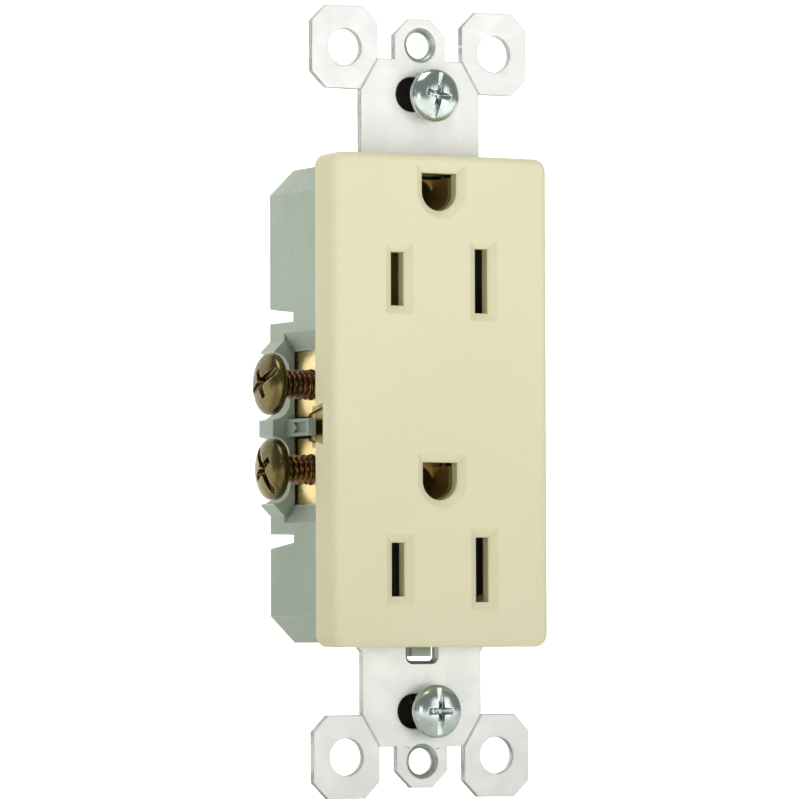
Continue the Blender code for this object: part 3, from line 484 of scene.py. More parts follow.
# face cover
cover = {
    # shell
    "corner": 1.7, "edge": 1.05, "edgeSteps": 8, "backEdge": 0.15,
    "sideWall": 1.5, "faceWall": 2.4, "hollowCorner": 0.8,
    # openings, their lead-ins, and the notches over the break-off tabs
    "slotWidth": 1.9, "hotSlot": 7.2, "neutralSlot": 8.7, "groundRadius": 2.6, "groundTop": 2.5,
    "leadIn": 1.15, "leadInDepth": 0.85, "lipRound": 0.14,
    "notchDepth": 2.35, "notchHalf": 2.2, "notchInnerHalf": 2.8,
    # bosses for the assembly screws
    "bossX": 9.4, "bossZ": 27.9, "bossRadius": 2.1, "pilot": 1.18,
    "colour": tint(226, 220, 187), "shade": tint(221, 215, 178), "rubbed": tint(233, 229, 200),
    # the side colour is painted shade on the side walls, and the dirt colour also paints shade into recesses
    "dirtAndShade": tint(150, 138, 92), "side": tint(208, 201, 158), "sideShadeFrom": 6.35, "sideShadeBlur": 0.5,
    "glow": 0.08, "glowDepth": (0.0009, 0.0007, 0.0004),
}


def groundLoop(z, grow=0.0):
    radius = cover["groundRadius"] + grow
    top = z + cover["groundTop"] + grow
    return [(radius, top), (-radius, top)] + arc(0, z, radius, 180, 360, 32)


def coverMaterial():
    look = Finish("ivoryMoulding", specular=0.42)
    flow = look.use("smudge", Scale=22.0)
    speck = look.use("grain", Scale=1500.0)
    rub = look.use("wear", Radius=0.0004, Amount=0.5)
    # dirt and painted shade: darker where the surface is shut in
    dirtAndShade = look.use("grimeAndShade", Reach=0.0007, Amount=0.55)
    colour = look.blend(look.scaled(flow, 0.5), cover["colour"], cover["shade"])
    colour = look.blend(look.scaled(speck, 0.12), colour, cover["shade"])
    colour = look.blend(rub, colour, cover["rubbed"])
    # painted shade: the side walls are coloured darker and yellower than the face, standing in for the shade
    # on them
    behind = look.along((0.0, 1.0, 0.0))
    side = look.use("covered", behind, Half=cover["sideShadeFrom"] * mm, Blur=cover["sideShadeBlur"] * mm)
    colour = look.blend(look.scaled(side, 0.9), colour, cover["side"])
    look.colour(look.blend(dirtAndShade, colour, cover["dirtAndShade"]))
    look.roughness(0.34, 0.5, flow, speck)
    look.bump(0.012, (speck, 0.5), (look.use("grain", Scale=260.0), 0.5))
    look.fixed("Subsurface Weight", cover["glow"])
    look.fixed("Subsurface Radius", cover["glowDepth"])
    look.fixed("Subsurface Scale", 1.0)
    return look.material


# the cover's outline, drawn in by some amount
def coverLoop(inset):
    x, z = coverHigh.x - inset, coverHigh.z - inset
    return roundedBox(-x, x, -z, z, cover["corner"] - inset)


def coverShell(front, back):
    rings = [(coverLoop(cover["backEdge"]), back), (coverLoop(0.0), back - cover["backEdge"])]
    for i in range(cover["edgeSteps"] + 1):
        turn = math.radians(90 * i / cover["edgeSteps"])
        inset = cover["edge"] * (1 - math.cos(turn))
        rings.append((coverLoop(inset), front + cover["edge"] * (1 - math.sin(turn))))
    return loft("faceCover", rings)


# the blade slots and ground hole of one outlet, each with its sloping lead-in
def outletCutters(centre, front, faceBack):
    cutters = []
    foot = front + cover["leadInDepth"]
    reach = cover["leadIn"] * (1 + past / cover["leadInDepth"])
    for side, height in ((-1, cover["hotSlot"]), (1, cover["neutralSlot"])):
        middle, wide, high = side * bladeX, cover["slotWidth"] / 2, height / 2
        hole = roundedBox(middle - wide, middle + wide, centre - high, centre + high)
        wide, high = wide + reach, high + reach
        mouth = roundedBox(middle - wide, middle + wide, centre - high, centre + high)
        cutters.append(slab("slot", hole, front - past, faceBack + past))
        cutters.append(loft("mouth", [(mouth, front - past), (hole, foot)]))
    ground = centre + pattern["groundRise"]
    cutters.append(slab("groundHole", groundLoop(ground), front - past, faceBack + past))
    mouth = groundLoop(ground, reach)
    cutters.append(loft("groundMouth", [(mouth, front - past), (groundLoop(ground), foot)]))
    return cutters


# the opening in a side wall that clears the break-off tab
def sideNotch(side, back):
    middle, deep = -pattern["drop"], back - cover["notchDepth"]
    half, inner = cover["notchHalf"], cover["notchInnerHalf"]
    mouth = back + past / 2
    loop = [(mouth, middle - half), (mouth, middle + half), (deep, middle + inner), (deep, middle - inner)]
    outside, within = coverHigh.x + past / 2, coverHigh.x - cover["sideWall"] - past / 2
    low, high = sorted((side * outside, side * within))
    return slab("notch", loop, low, high, "side")


def makeCover():
    x, z = coverHigh.x - cover["sideWall"], coverHigh.z - cover["sideWall"]
    front, back = coverLow.y, coverHigh.y
    faceBack = front + cover["faceWall"]
    shell = coverShell(front, back)
    cutters = [slab("hollow", roundedBox(-x, x, -z, z, cover["hollowCorner"], 4), faceBack, back + past)]
    for centre in outlets.values():
        cutters += outletCutters(centre, front, faceBack)
    cutters += [sideNotch(side, back) for side in (-1, 1)]
    combine(shell, cutters)
    bosses, pilots = [], []
    for bossX in (-cover["bossX"], cover["bossX"]):
        for bossZ in (-cover["bossZ"], cover["bossZ"]):
            bosses.append(slab("boss", circle(bossX, bossZ, cover["bossRadius"], 32), faceBack - 0.1, back))
            pilots.append(slab("pilot", circle(bossX, bossZ, cover["pilot"], 24), faceBack, back + past / 2))
    combine(shell, bosses, "UNION")
    combine(shell, pilots)
    softenEdges(shell, cover["lipRound"], 3)
    finishPiece(shell, coverMaterial(), "device", ["face_cover"])


makeCover()
print("face cover made")


# back body
body = {
    "soften": 0.16, "ribInset": 2.1, "pocketDepth": 0.45, "pocketClear": 0.6,
    "pocketFrom": 6.5, "pocketTo": 10.4, "pocketHalf": 0.72, "pocketVee": 0.9,
    "colour": tint(166, 178, 161), "shade": tint(154, 166, 149), "rubbed": tint(200, 208, 194),
    "dirtAndShade": tint(78, 90, 78),
}


def bodyMaterial():
    look = Finish("greyGreenMoulding", specular=0.35)
    flow = look.use("smudge", Scale=30.0)
    speck = look.use("grain", Scale=1100.0)
    rub = look.use("wear", Radius=0.0004, Amount=0.8)
    # dirt and painted shade: darker where the surface is shut in
    dirtAndShade = look.use("grimeAndShade", Reach=0.0016, Amount=0.85)
    colour = look.blend(look.scaled(flow, 0.7), body["colour"], body["shade"])
    colour = look.blend(look.scaled(speck, 0.18), colour, body["shade"])
    colour = look.blend(rub, colour, body["rubbed"])
    look.colour(look.blend(dirtAndShade, colour, body["dirtAndShade"]))
    look.roughness(0.42, 0.62, flow, speck)
    look.bump(0.02, (speck, 0.6), (look.use("grain", Scale=300.0), 0.4))
    return look.material


def makeBody():
    shell = fromNode("back_body", "backBody")
    start, end, half = body["pocketFrom"], body["pocketTo"], body["pocketHalf"]
    middle = -pattern["drop"]
    pocket = [(start, middle - half), (end, middle - half), (end - body["pocketVee"], middle),
              (end, middle + half), (start, middle + half)]
    cutters = []
    for side in (-1, 1):
        edge = side * (bodyHigh.x - body["ribInset"])
        low, high = sorted((edge + side * body["pocketClear"], edge - side * body["pocketDepth"]))
        cutters.append(slab("pocket", pocket, low, high, "side"))
    combine(shell, cutters)
    softenEdges(shell, body["soften"], 2)
    finishPiece(shell, bodyMaterial(), "device", ["back_body"])


makeBody()
print("back body made")


# mounting strap
strap = {
    # sheet and outline, from the middle out to the lug
    "thick": 1.2, "edge": 0.16, "insideHalf": 12.0, "insideEnd": 30.5, "insideFall": 0.3,
    "insideCorner": 2.39, "neck": 9.4, "neckEnd": 33.65, "half": 9.0, "earLow": 42.12, "earInner": 6.4,
    "earWide": 9.9, "earTall": 11.2, "earChamfer": 2.2, "shoulder": 46.4,
    "tabHalf": 3.85, "tabTopHalf": 1.6, "tabTop": 51.97,
    # holes
    "boxScrew": 41.67, "slotLong": 7.35, "slotTall": 4.7, "plateScrew": 48.42, "plateHole": 1.75,
    "earHole": 2.5, "screwHole": 1.25, "rivetHole": 1.4, "rivetRise": 3.4,
    "lugHoleHalf": 2.05, "lugHoleEnd": 34.9, "lugHoleTop": 32.1, "lugCorner": 0.6, "lugRim": 0.45,
    "windowHalf": 7.7, "windowEdge": 0.4, "throat": 3.63, "throatRise": 2.8, "bridge": 0.6,
    # countersinks, score lines and the ground tab
    "dimple": 2.62, "dimpleDepth": 0.8, "dimpleLip": 0.16, "dimpleSteps": 6,
    "scoreHalf": 0.21, "scoreDepth": 0.22, "scoreFoot": 0.15,
    "groundTab": (19.93, 25.53, 9.0), "tabCorner": 0.5, "tabEdge": 0.15, "groundHole": (5.2, 22.73, 2.13),
    # colours: zinc, bare cut edges, and near-black painted shade on the part shut in behind the cover
    "colour": (0.90, 0.90, 0.885), "shade": (0.83, 0.835, 0.82), "rubbed": (0.60, 0.63, 0.58),
    "dirtAndShade": (0.34, 0.36, 0.33), "cut": (0.46, 0.50, 0.45), "cutShade": (0.30, 0.34, 0.30),
    "covered": (0.07, 0.07, 0.062), "paintedShadeHalf": 32.4,
    # how far a face leans from the sheet before it counts as cut, and where sloping ones are looked for
    "cutLean": 0.35, "slopeLean": 0.97, "rimReach": 2.75, "lugMiddle": 33.5, "lugReach": 2.0,
}


def strapMaterial():
    look = Finish("galvanisedSheet", metallic=0.6, drawn=(1.0, 1.0, 0.06))
    upright = look.along((0.0, 0.0, 1.0))
    flake = look.use("spangle", Scale=620.0)
    smudge = look.use("smudge", Scale=60.0)
    line = look.use("scratch", drawn=True, Scale=1500.0, Amount=0.35)
    rub = look.use("wear", Radius=0.0003, Amount=0.7)
    # dirt and painted shade: darker where the surface is shut in
    dirtAndShade = look.use("grimeAndShade", Reach=0.0005, Amount=0.6)
    colour = look.blend(look.scaled(flake, 0.55), strap["colour"], strap["shade"])
    colour = look.blend(look.scaled(smudge, 0.3), colour, strap["shade"])
    colour = look.blend(rub, colour, strap["rubbed"])
    colour = look.blend(dirtAndShade, colour, strap["dirtAndShade"])
    # painted shade: the middle of the strap behind the cover is coloured near black
    shut = look.use("covered", upright, Half=strap["paintedShadeHalf"] * mm)
    look.colour(look.blend(shut, colour, strap["covered"]))
    look.roughness(0.5, 0.68, flake, smudge, line)
    look.bump(0.01, (flake, 0.35), (line, 0.4), (look.use("grain", Scale=1800.0), 0.25))
    return look.material


# sheet edges left bare by the punch, and the countersinks pressed round the plate screws' holes
def cutEdgeMaterial():
    look = Finish("punchedEdge", metallic=0.8, drawn=(1.0, 0.08, 1.0))
    tear = look.use("scratch", drawn=True, Scale=1600.0, Amount=0.6)
    patch = look.use("smudge", Scale=240.0)
    colour = look.blend(patch, strap["cut"], strap["cutShade"])
    look.colour(look.blend(look.scaled(tear, 0.6), colour, strap["colour"]))
    look.roughness(0.4, 0.6, patch, tear)
    look.bump(0.02, (tear, 0.6), (look.use("grain", Scale=1800.0), 0.4))
    return look.material


# the strap's outline: lug, plaster ear, neck and the wider middle behind the cover
def strapOutline(s):
    ear = s["earInner"] + s["earWide"]
    earTop = s["earLow"] + s["earTall"]
    cut = s["earChamfer"]
    quarter = [
        (s["tabTopHalf"], s["tabTop"]), (s["tabHalf"], s["tabTop"] - s["tabHalf"] + s["tabTopHalf"]),
        (s["tabHalf"], s["shoulder"]), (s["earInner"], s["shoulder"]), (s["earInner"], earTop - cut),
        (s["earInner"] + cut, earTop), (ear - cut, earTop), (ear, earTop - cut), (ear, s["earLow"] + cut),
        (ear - cut, s["earLow"]), (s["half"], s["earLow"]), (s["half"], s["neckEnd"]),
        (s["neck"], s["neckEnd"] - s["neck"] + s["half"]), (s["neck"], s["insideEnd"]),
        (s["insideHalf"] - s["insideCorner"], s["insideEnd"] - s["insideFall"]),
        (s["insideHalf"], s["insideEnd"] - s["insideFall"] - s["insideCorner"]),
    ]
    return mirroredLoop(quarter)


def strapHoles(s):
    loops = []
    earX = s["earInner"] + s["earWide"] / 2
    earZ = s["earLow"] + s["earTall"] / 2
    straight = (s["slotLong"] - s["slotTall"]) / 2
    for side in (1, -1):
        z = side * s["boxScrew"]
        loops.append(arc(straight, z, s["slotTall"] / 2, -90, 90, 20)
                     + arc(-straight, z, s["slotTall"] / 2, 90, 270, 20))
        loops.append(circle(0, side * s["plateScrew"], s["plateHole"]))
        for across in (1, -1):
            loops.append(circle(across * earX, side * earZ, s["earHole"]))
            loops.append(circle(across * cover["bossX"], side * cover["bossZ"], s["screwHole"], 24))
    for row, z in outlets.items():
        throat, half = s["throat"], s["windowHalf"]
        edge = cover["neutralSlot"] / 2 + s["windowEdge"]
        low, tall = z - edge, z + edge
        rise = s["throatRise"] if row == "upper" else cover["groundRadius"] + s["bridge"]
        high = z + pattern["groundRise"] + rise
        loops.append([(-throat, high), (throat, high), (throat, tall), (half, tall), (half, low),
                      (-half, low), (-half, tall), (-throat, tall)])
    for z in rivetHeights():
        loops.append(circle(0, z, s["rivetHole"], 24))
    loops.append(roundedBox(*lugHole(s), s["lugCorner"], 5))
    return loops


def lugHole(s, grow=0.0):
    half = s["lugHoleHalf"] + grow
    return (-half, half, -s["lugHoleEnd"] - grow, -s["lugHoleTop"] + grow)


# a countersink whose wall bulges, pressed round a wall plate's screw hole
def dimpleCutter(s, side):
    bottom = -s["dimpleDepth"]
    profile = [(0, 0.3), (s["dimple"] + s["dimpleLip"], 0.3), (s["dimple"], 0.0)]
    for i in range(1, s["dimpleSteps"] + 1):
        turn = math.radians(90 / s["dimpleSteps"] * i)
        radius = s["dimple"] - (s["dimple"] - s["plateHole"]) * math.sin(turn)
        profile.append((radius, bottom * (1 - math.cos(turn))))
    profile += [(s["plateHole"] - 0.02, bottom - 0.1), (0, bottom - 0.1)]
    place = Matrix.Translation((0, -s["thick"], side * s["plateScrew"]))
    return moved(turned("dimple", profile, 48), place @ facing["front"])


# the vee grooves, on both faces of the sheet, along which one ear breaks off
def scoreCutters(s, side, across):
    start = Vector((across * s["earInner"], side * s["shoulder"]))
    end = Vector((across * s["half"], side * s["earLow"]))
    along = (end - start).normalized()
    aside = Vector((along.y, -along.x)) * s["scoreHalf"]
    cutters = []
    for level, out in ((-s["thick"], -1), (0, 1)):
        rings = []
        for share, height in ((1.0, level + out * 0.05), (s["scoreFoot"], level - out * s["scoreDepth"])):
            wide = aside * share
            loop = [start - wide - along, start + wide - along, end + wide + along, end - wide + along]
            rings.append((loop, height))
        cutters.append(loft("score", rings))
    return cutters


# faces that the punch or the press left bare: cut edges, countersinks and the lug hole's rim
def bareFaces(s, mesh):
    holes = [Vector((0, side * s["plateScrew"])) for side in (1, -1)]
    bare = []
    for face in mesh.polygons:
        lean, centre = abs(face.normal.y), face.center
        nearest = min((Vector((centre.x, centre.z)) - hole).length for hole in holes)
        rim = nearest < s["rimReach"] or abs(centre.z + s["lugMiddle"]) < s["lugReach"]
        if lean < s["cutLean"] or (lean < s["slopeLean"] and abs(centre.x) < s["tabHalf"] and rim):
            bare.append(face.index)
    return bare


def makeStrap():
    s = strap
    sheet = stamping("mountingStrap", [strapOutline(s)] + strapHoles(s), -s["thick"], 0, s["edge"])
    low, high, reach = s["groundTab"]
    outer, inner = s["insideHalf"], s["insideHalf"] - s["thick"]
    tabLoop = roundedBox(-s["thick"] / 2, reach, low, high, s["tabCorner"], 4)
    tab = softenEdges(slab("tab", tabLoop, inner, outer, "side"), s["tabEdge"], 2)
    combine(sheet, [tab], "UNION")
    y, z, radius = s["groundHole"]
    cutters = [slab("tapped", circle(y, z, radius, 32), inner - past / 2, outer + past / 2, "side")]
    rim = roundedBox(*lugHole(s, s["lugRim"]), s["lugCorner"] + s["lugRim"], 5)
    foot = roundedBox(*lugHole(s), s["lugCorner"], 5)
    cutters.append(loft("lugRim", [(rim, -s["thick"] - 0.01), (foot, -s["thick"] + s["lugRim"])]))
    for side in (1, -1):
        cutters.append(dimpleCutter(s, side))
        for across in (1, -1):
            cutters += scoreCutters(s, side, across)
    combine(sheet, cutters)
    bare = bareFaces(s, sheet.data)
    finishPiece(sheet, strapMaterial(), "device", ["mounting_strap"])
    sheet.data.materials.append(cutEdgeMaterial())
    for index in bare:
        sheet.data.polygons[index].material_index = 1


def rivetHeights():
    top = outlets["upper"] - cover["neutralSlot"] / 2 - strap["windowEdge"]
    bottom = outlets["lower"] + pattern["groundRise"] + cover["groundRadius"] + strap["bridge"]
    return (top - strap["rivetRise"], bottom + strap["rivetRise"])


# a screw is drawn standing, its head up and the head's underside at height 0
facing = {
    "front": spin(90, "X"),
    "back": spin(-90, "X"),
    "left": spin(-90, "Y"),
    "right": spin(90, "Y"),
}


# what every screw shares: its thread, its head's rim and dish, and the corners of its drive
thread = {"columns": 36, "rows": 10, "deep": 0.52, "steep": 2.5, "crest": 0.12,
          "above": 0.3, "start": 0.15, "end": 0.5, "fade": 0.1, "point": 0.25, "toneBelow": -0.05}
headForm = {"facets": 72, "steps": 14, "swell": 0.92, "straight": 0.45, "chamfer": 0.12, "rise": 0.06,
            "land": 0.3, "dish": 0.55, "dishDeep": 0.12, "soften": 0.06}
driveForm = {"mouth": 0.3, "corner": 0.4, "taper": 0.45, "point": 0.25, "slotCorner": 0.15}


# a shank whose surface runs in and out round a helix; it fades at the head and at the tip
def threadedShank(name, radius, length, pitch):
    t = thread
    shape = bmesh.new()
    deep = pitch * t["deep"]
    count = int((length - t["end"]) / pitch * t["rows"])
    reach = length - t["start"] - t["end"]
    heights = [t["above"]] + [-t["start"] - reach * i / count for i in range(count + 1)] + [-length]
    rows = []
    for height in heights:
        row = []
        fade = min(1.0, max(0.0, (-height - t["fade"]) / pitch), max(0.0, (length + height) / pitch))
        for i in range(t["columns"]):
            phase = (height / pitch - i / t["columns"]) % 1.0
            ridge = min(1.0, max(0.0, t["steep"] * abs(phase - 0.5) - t["crest"]))
            local = radius - deep * (1 - ridge * fade) if height > -length else radius - deep - t["point"]
            turn = 2 * math.pi * i / t["columns"]
            row.append(shape.verts.new((local * math.cos(turn), local * math.sin(turn), height)))
        rows.append(row)
    for near, far in zip(rows, rows[1:]):
        join(shape, near, far)
    shape.faces.new(rows[0])
    shape.faces.new(rows[-1])
    return objectFrom(name, shape)


# rounded rim, low crown and a slightly dished underside
def panHead(radius, height, dome):
    h = headForm
    rim = height * (1 - dome)
    profile = [(0, height)]
    for i in range(1, h["steps"] + 1):
        turn = math.radians(90 * i / h["steps"])
        profile.append((radius * math.sin(turn) ** h["swell"], rim + (height - rim) * math.cos(turn)))
    profile += [(radius, rim * h["straight"]), (radius - h["chamfer"], h["rise"]), (radius - h["land"], 0.0),
                (radius * h["dish"], h["dishDeep"]), (0, h["dishDeep"])]
    return turned("head", profile, h["facets"])


def slotChannel(radius, height, drive):
    half, corner = drive["slot"] / 2, driveForm["slotCorner"]
    low, top, end = height - drive["slotDeep"], height + past / 2, radius + past / 2
    channel = [(-half, top), (-half, low + corner), (corner - half, low), (half - corner, low),
               (half, low + corner), (half, top)]
    return [slab("channel", channel, -end, end, "side")]


# a cross recess, with the slot of a combination head when the drive holds one
def crossRecess(radius, height, drive):
    tools = slotChannel(radius, height, drive) if drive["slot"] else []
    mouth, low = height + driveForm["mouth"], height - drive["deep"]
    for turn in (0, 90):
        rings = []
        ends = ((drive["reach"], drive["wide"], mouth), (drive["foot"], drive["thin"], low))
        for reach, wide, level in ends:
            rings.append((roundedBox(-reach, reach, -wide, wide, wide * driveForm["corner"], 3), level))
        tools.append(moved(loft("wing", rings, "top"), spin(turn)))
    core = drive["centre"]
    profile = [(0, mouth), (core, mouth), (core * driveForm["taper"], low), (0, low - driveForm["point"])]
    return tools + [turned("centre", profile, 24)]


def makeScrew(name, size, finishes, body, node, direction, place, turn):
    radius, height, drive = size["head"], size["headTall"], size["drive"]
    head = panHead(radius, height, size["dome"])
    if size.get("hex"):
        low, flats = size["flange"], circle(0, 0, size["hex"], 6)
        outer = slab("outside", circle(0, 0, size["hex"] + 2 * past), low, height + past, "top")
        combine(outer, [slab("flats", flats, low - past / 2, height + 2 * past, "top")])
        combine(head, [outer])
    combine(head, (crossRecess if drive["reach"] else slotChannel)(radius, height, drive))
    softenEdges(head, headForm["soften"], 2, 30)
    combine(head, [threadedShank("shank", size["shank"], size["long"], size["pitch"])], "UNION")
    head.name = name
    head.data.name = name
    shank = [face.index for face in head.data.polygons if face.center.z < thread["toneBelow"]]
    moved(head, Matrix.Translation(place) @ facing[direction] @ spin(turn))
    finishPiece(head, metal[finishes[0]], body, [node], 40)
    if len(finishes) > 1:
        head.data.materials.append(metal[finishes[1]])
        for index in shank:
            head.data.polygons[index].material_index = 1


# metals: rough holds the lowest and highest roughness, and spread how fine the tarnish patches are
plainMetal = {"drawn": (1, 1, 1), "spread": 70.0, "recess": 0.0008, "grit": 0.006, "shadedHalf": 0.0, "tab": ()}
rolled = {"drawn": (1.0, 1.0, 0.05), "spread": 60.0, "recess": 0.0007}
metals = {
    "agedBrass": {
        "tone": (0.17, 0.132, 0.048), "tarnish": (0.09, 0.072, 0.026), "rubbed": (0.58, 0.46, 0.22),
        "dirtAndShade": (0.30, 0.12, 0.02), "rough": (0.2, 0.38), "spread": 150.0, "recess": 0.0011,
    },
    "brownThread": {
        "tone": (0.17, 0.09, 0.03), "tarnish": (0.09, 0.05, 0.02), "rubbed": (0.50, 0.27, 0.10),
        "dirtAndShade": (0.02, 0.01, 0.004), "rough": (0.22, 0.42), "spread": 200.0, "recess": 0.0006,
    },
    "nickelPlate": {
        "tone": (0.66, 0.64, 0.59), "tarnish": (0.55, 0.53, 0.48), "rubbed": (0.88, 0.87, 0.84),
        "dirtAndShade": (0.16, 0.15, 0.13), "rough": (0.2, 0.38), "spread": 120.0, "recess": 0.0009,
    },
    "brightZinc": {
        "tone": (0.62, 0.67, 0.65), "tarnish": (0.48, 0.54, 0.52), "rubbed": (0.92, 0.94, 0.92),
        "dirtAndShade": (0.10, 0.14, 0.12), "rough": (0.14, 0.32), "spread": 160.0, "recess": 0.0009,
    },
    "greenDye": {
        "tone": (0.04, 0.26, 0.11), "tarnish": (0.03, 0.19, 0.08), "rubbed": (0.45, 0.55, 0.40),
        "dirtAndShade": (0.01, 0.05, 0.02), "rough": (0.24, 0.42), "spread": 110.0,
    },
    # rolled brass below is painted with shade on the contacts inside the body and on the break-off tab
    "rolledBrass": {
        **rolled, "tone": (0.86, 0.70, 0.35), "tarnish": (0.76, 0.59, 0.26), "rubbed": (0.95, 0.85, 0.56),
        "dirtAndShade": (0.10, 0.07, 0.02), "rough": (0.24, 0.44), "shadedHalf": 10.8, "tab": (7.4, 2.6),
        "tabShade": (0.27, 0.19, 0.05),
    },
    "groundBrass": {
        **rolled, "tone": (0.74, 0.55, 0.20), "tarnish": (0.60, 0.43, 0.14), "rubbed": (0.80, 0.64, 0.30),
        "dirtAndShade": (0.25, 0.17, 0.04), "rough": (0.5, 0.7), "spread": 80.0,
    },
    "nickelStrip": {
        **rolled, "tone": (0.70, 0.68, 0.63), "tarnish": (0.60, 0.58, 0.53), "rubbed": (0.9, 0.89, 0.86),
        "dirtAndShade": (0.07, 0.065, 0.05), "rough": (0.24, 0.42), "shadedHalf": 10.8,
    },
    "springSteel": {
        "tone": (0.52, 0.52, 0.50), "tarnish": (0.42, 0.42, 0.41), "rubbed": (0.8, 0.8, 0.78),
        "dirtAndShade": (0.12, 0.11, 0.10), "rough": (0.2, 0.4), "spread": 90.0,
    },
}


# a plated or rolled metal: tone, tarnish patches, rubbed edges, and dirt and painted shade in its corners
def metalMaterial(name):
    m = {**plainMetal, **metals[name]}
    look = Finish(name, metallic=1.0, drawn=m["drawn"])
    patch = look.use("smudge", Scale=m["spread"])
    grain = look.use("grain", Scale=1400.0)
    line = look.use("scratch", drawn=True, Scale=1200.0, Amount=0.45)
    rub = look.use("wear", Radius=0.00025, Amount=0.9)
    # dirt and painted shade: darker where the surface is shut in
    dirtAndShade = look.use("grimeAndShade", Reach=m["recess"], Amount=0.95)
    colour = look.blend(patch, m["tone"], m["tarnish"])
    colour = look.blend(look.scaled(grain, 0.25), colour, m["tarnish"])
    colour = look.blend(look.scaled(line, 0.5), colour, m["rubbed"])
    colour = look.blend(dirtAndShade, colour, m["dirtAndShade"])
    colour = look.blend(rub, colour, m["rubbed"])
    if m["shadedHalf"]:
        # painted shade: contacts shut in behind the face are coloured darker, standing in for the shade
        # inside the body
        shut = look.use("covered", look.along((1.0, 0.0, 0.0)), Half=m["shadedHalf"] * mm)
        colour = look.blend(look.scaled(shut, 0.85), colour, m["dirtAndShade"])
    if m["tab"]:
        # painted shade: the break-off tab between the terminal plates, sunk in the cover's notch, is coloured
        # dark brown to stand in for its shade
        depth = look.use("covered", look.along((0.0, 1.0, 0.0)), Half=m["tab"][0] * mm)
        height = look.use("covered", look.along((0.0, 0.0, 1.0), -pattern["drop"]), Half=m["tab"][1] * mm)
        tab = calculate(look.tree, "MULTIPLY", depth, height)
        colour = look.blend(look.scaled(tab, 0.9), colour, m["tabShade"])
    look.colour(colour)
    look.roughness(m["rough"][0], m["rough"][1], patch, grain, line, dirtAndShade)
    look.bump(m["grit"], (grain, 0.5), (line, 0.5))
    return look.material


metal = {name: metalMaterial(name) for name in metals}
print("metals mixed")


# terminal screws: aged brass on the hot side, nickel on the neutral side
terminal = {
    "head": 4.2, "headTall": 2.3, "dome": 0.62, "shank": 2.05, "long": 7.3, "pitch": 0.794,
    "drive": {"reach": 2.75, "wide": 0.62, "foot": 0.9, "thin": 0.34, "deep": 1.55, "centre": 1.1,
              "slot": 1.1, "slotDeep": 0.95},
    "depth": 8.0, "fromCentre": 5.75, "pad": 12.1, "upperOut": 5.4, "lowerOut": 5.1,
    "turns": {"upper": 115, "lower": 35},
    # side of the body: where it lies, the way its heads face, its finishes and its slot
    "sides": {
        "hot": (-1, "left", ["agedBrass", "brownThread"], "brass_screw"),
        "neutral": (1, "right", ["nickelPlate"], "nickel_screw"),
    },
}
for row, rise in (("upper", 1), ("lower", -1)):
    out = terminal["pad"] + terminal[row + "Out"]
    height = -pattern["drop"] + rise * terminal["fromCentre"]
    for pole, (side, direction, finishes, slot) in terminal["sides"].items():
        makeScrew(row + pole.capitalize() + "Screw", terminal, finishes, f"{row}_{pole}_terminal",
                  f"{row}_{pole}_screw", direction, (side * out, terminal["depth"], height),
                  -side * terminal["turns"][row])
print("terminal screws made")


# mounting screws, held in the strap's slots by fibre washers
mounting = {
    "head": 3.6, "headTall": 2.1, "dome": 0.7, "shank": 1.65, "long": 19.0, "pitch": 0.794,
    "drive": {"reach": 2.3, "wide": 0.5, "foot": 0.7, "thin": 0.26, "deep": 1.5, "centre": 0.85,
              "slot": 0.92, "slotDeep": 0.75},
    "shift": 1.2, "proud": 2.55, "sag": {"upper": 0.2, "lower": 0.0}, "turns": {"upper": 78, "lower": 90},
}
washer = {
    "bore": 1.73, "radius": 4.1, "thick": 0.8, "round": 0.14, "behind": 0.3,
    "slits": 3, "slit": 0.22, "slitEnd": 2.7, "slitCorner": 0.08, "slitTurn": 30,
    "colour": tint(38, 35, 31), "shade": tint(26, 24, 21), "edge": tint(84, 79, 71), "dirtAndShade": tint(10, 9, 8),
}


def fibreMaterial():
    look = Finish("pressedFibre", specular=0.25)
    patch = look.use("smudge", Scale=200.0)
    fibre = look.use("grain", Scale=2600.0)
    colour = look.blend(patch, washer["colour"], washer["shade"])
    colour = look.blend(look.scaled(fibre, 0.5), colour, washer["shade"])
    colour = look.blend(look.use("wear", Radius=0.0002, Amount=0.7), colour, washer["edge"])
    # the darker blend below is dirt and painted shade where the washer is shut in
    look.colour(look.blend(look.use("grimeAndShade", Reach=0.0005, Amount=0.7), colour, washer["dirtAndShade"]))
    look.roughness(0.7, 0.9, patch, fibre)
    look.bump(0.03, (fibre, 1.0))
    return look.material


def makeWasher(row, place, material):
    w = washer
    r, t, b = w["round"], w["thick"], w["bore"]
    profile = [(b, -r), (b + r, 0), (w["radius"] - r, 0), (w["radius"], -r), (w["radius"], r - t),
               (w["radius"] - r, -t), (b + r, -t), (b, r - t)]
    disc = ringed(row + "ScrewRetainer", profile, 72)
    loop = roundedBox(past / 2, w["slitEnd"], -w["slit"] / 2, w["slit"] / 2, w["slitCorner"], 3)
    slits = []
    for i in range(w["slits"]):
        slit = slab("slit", loop, -t - past / 2, past / 2, "top")
        slits.append(moved(slit, spin(360 / w["slits"] * i + w["slitTurn"])))
    combine(disc, slits)
    moved(disc, Matrix.Translation(place) @ facing["front"])
    finishPiece(disc, material, row + "_retainer", [row + "_screw_retainer"])


fibreLook = fibreMaterial()
for row, side in (("upper", 1), ("lower", -1)):
    height = side * strap["boxScrew"] - mounting["sag"][row]
    makeScrew(row + "MountingScrew", mounting, ["brightZinc"], row + "_mounting",
              row + "_mounting_screw", "front", (mounting["shift"], -mounting["proud"], height),
              mounting["turns"][row])
    makeWasher(row, (mounting["shift"], washer["behind"], height), fibreLook)
print("mounting screws made")


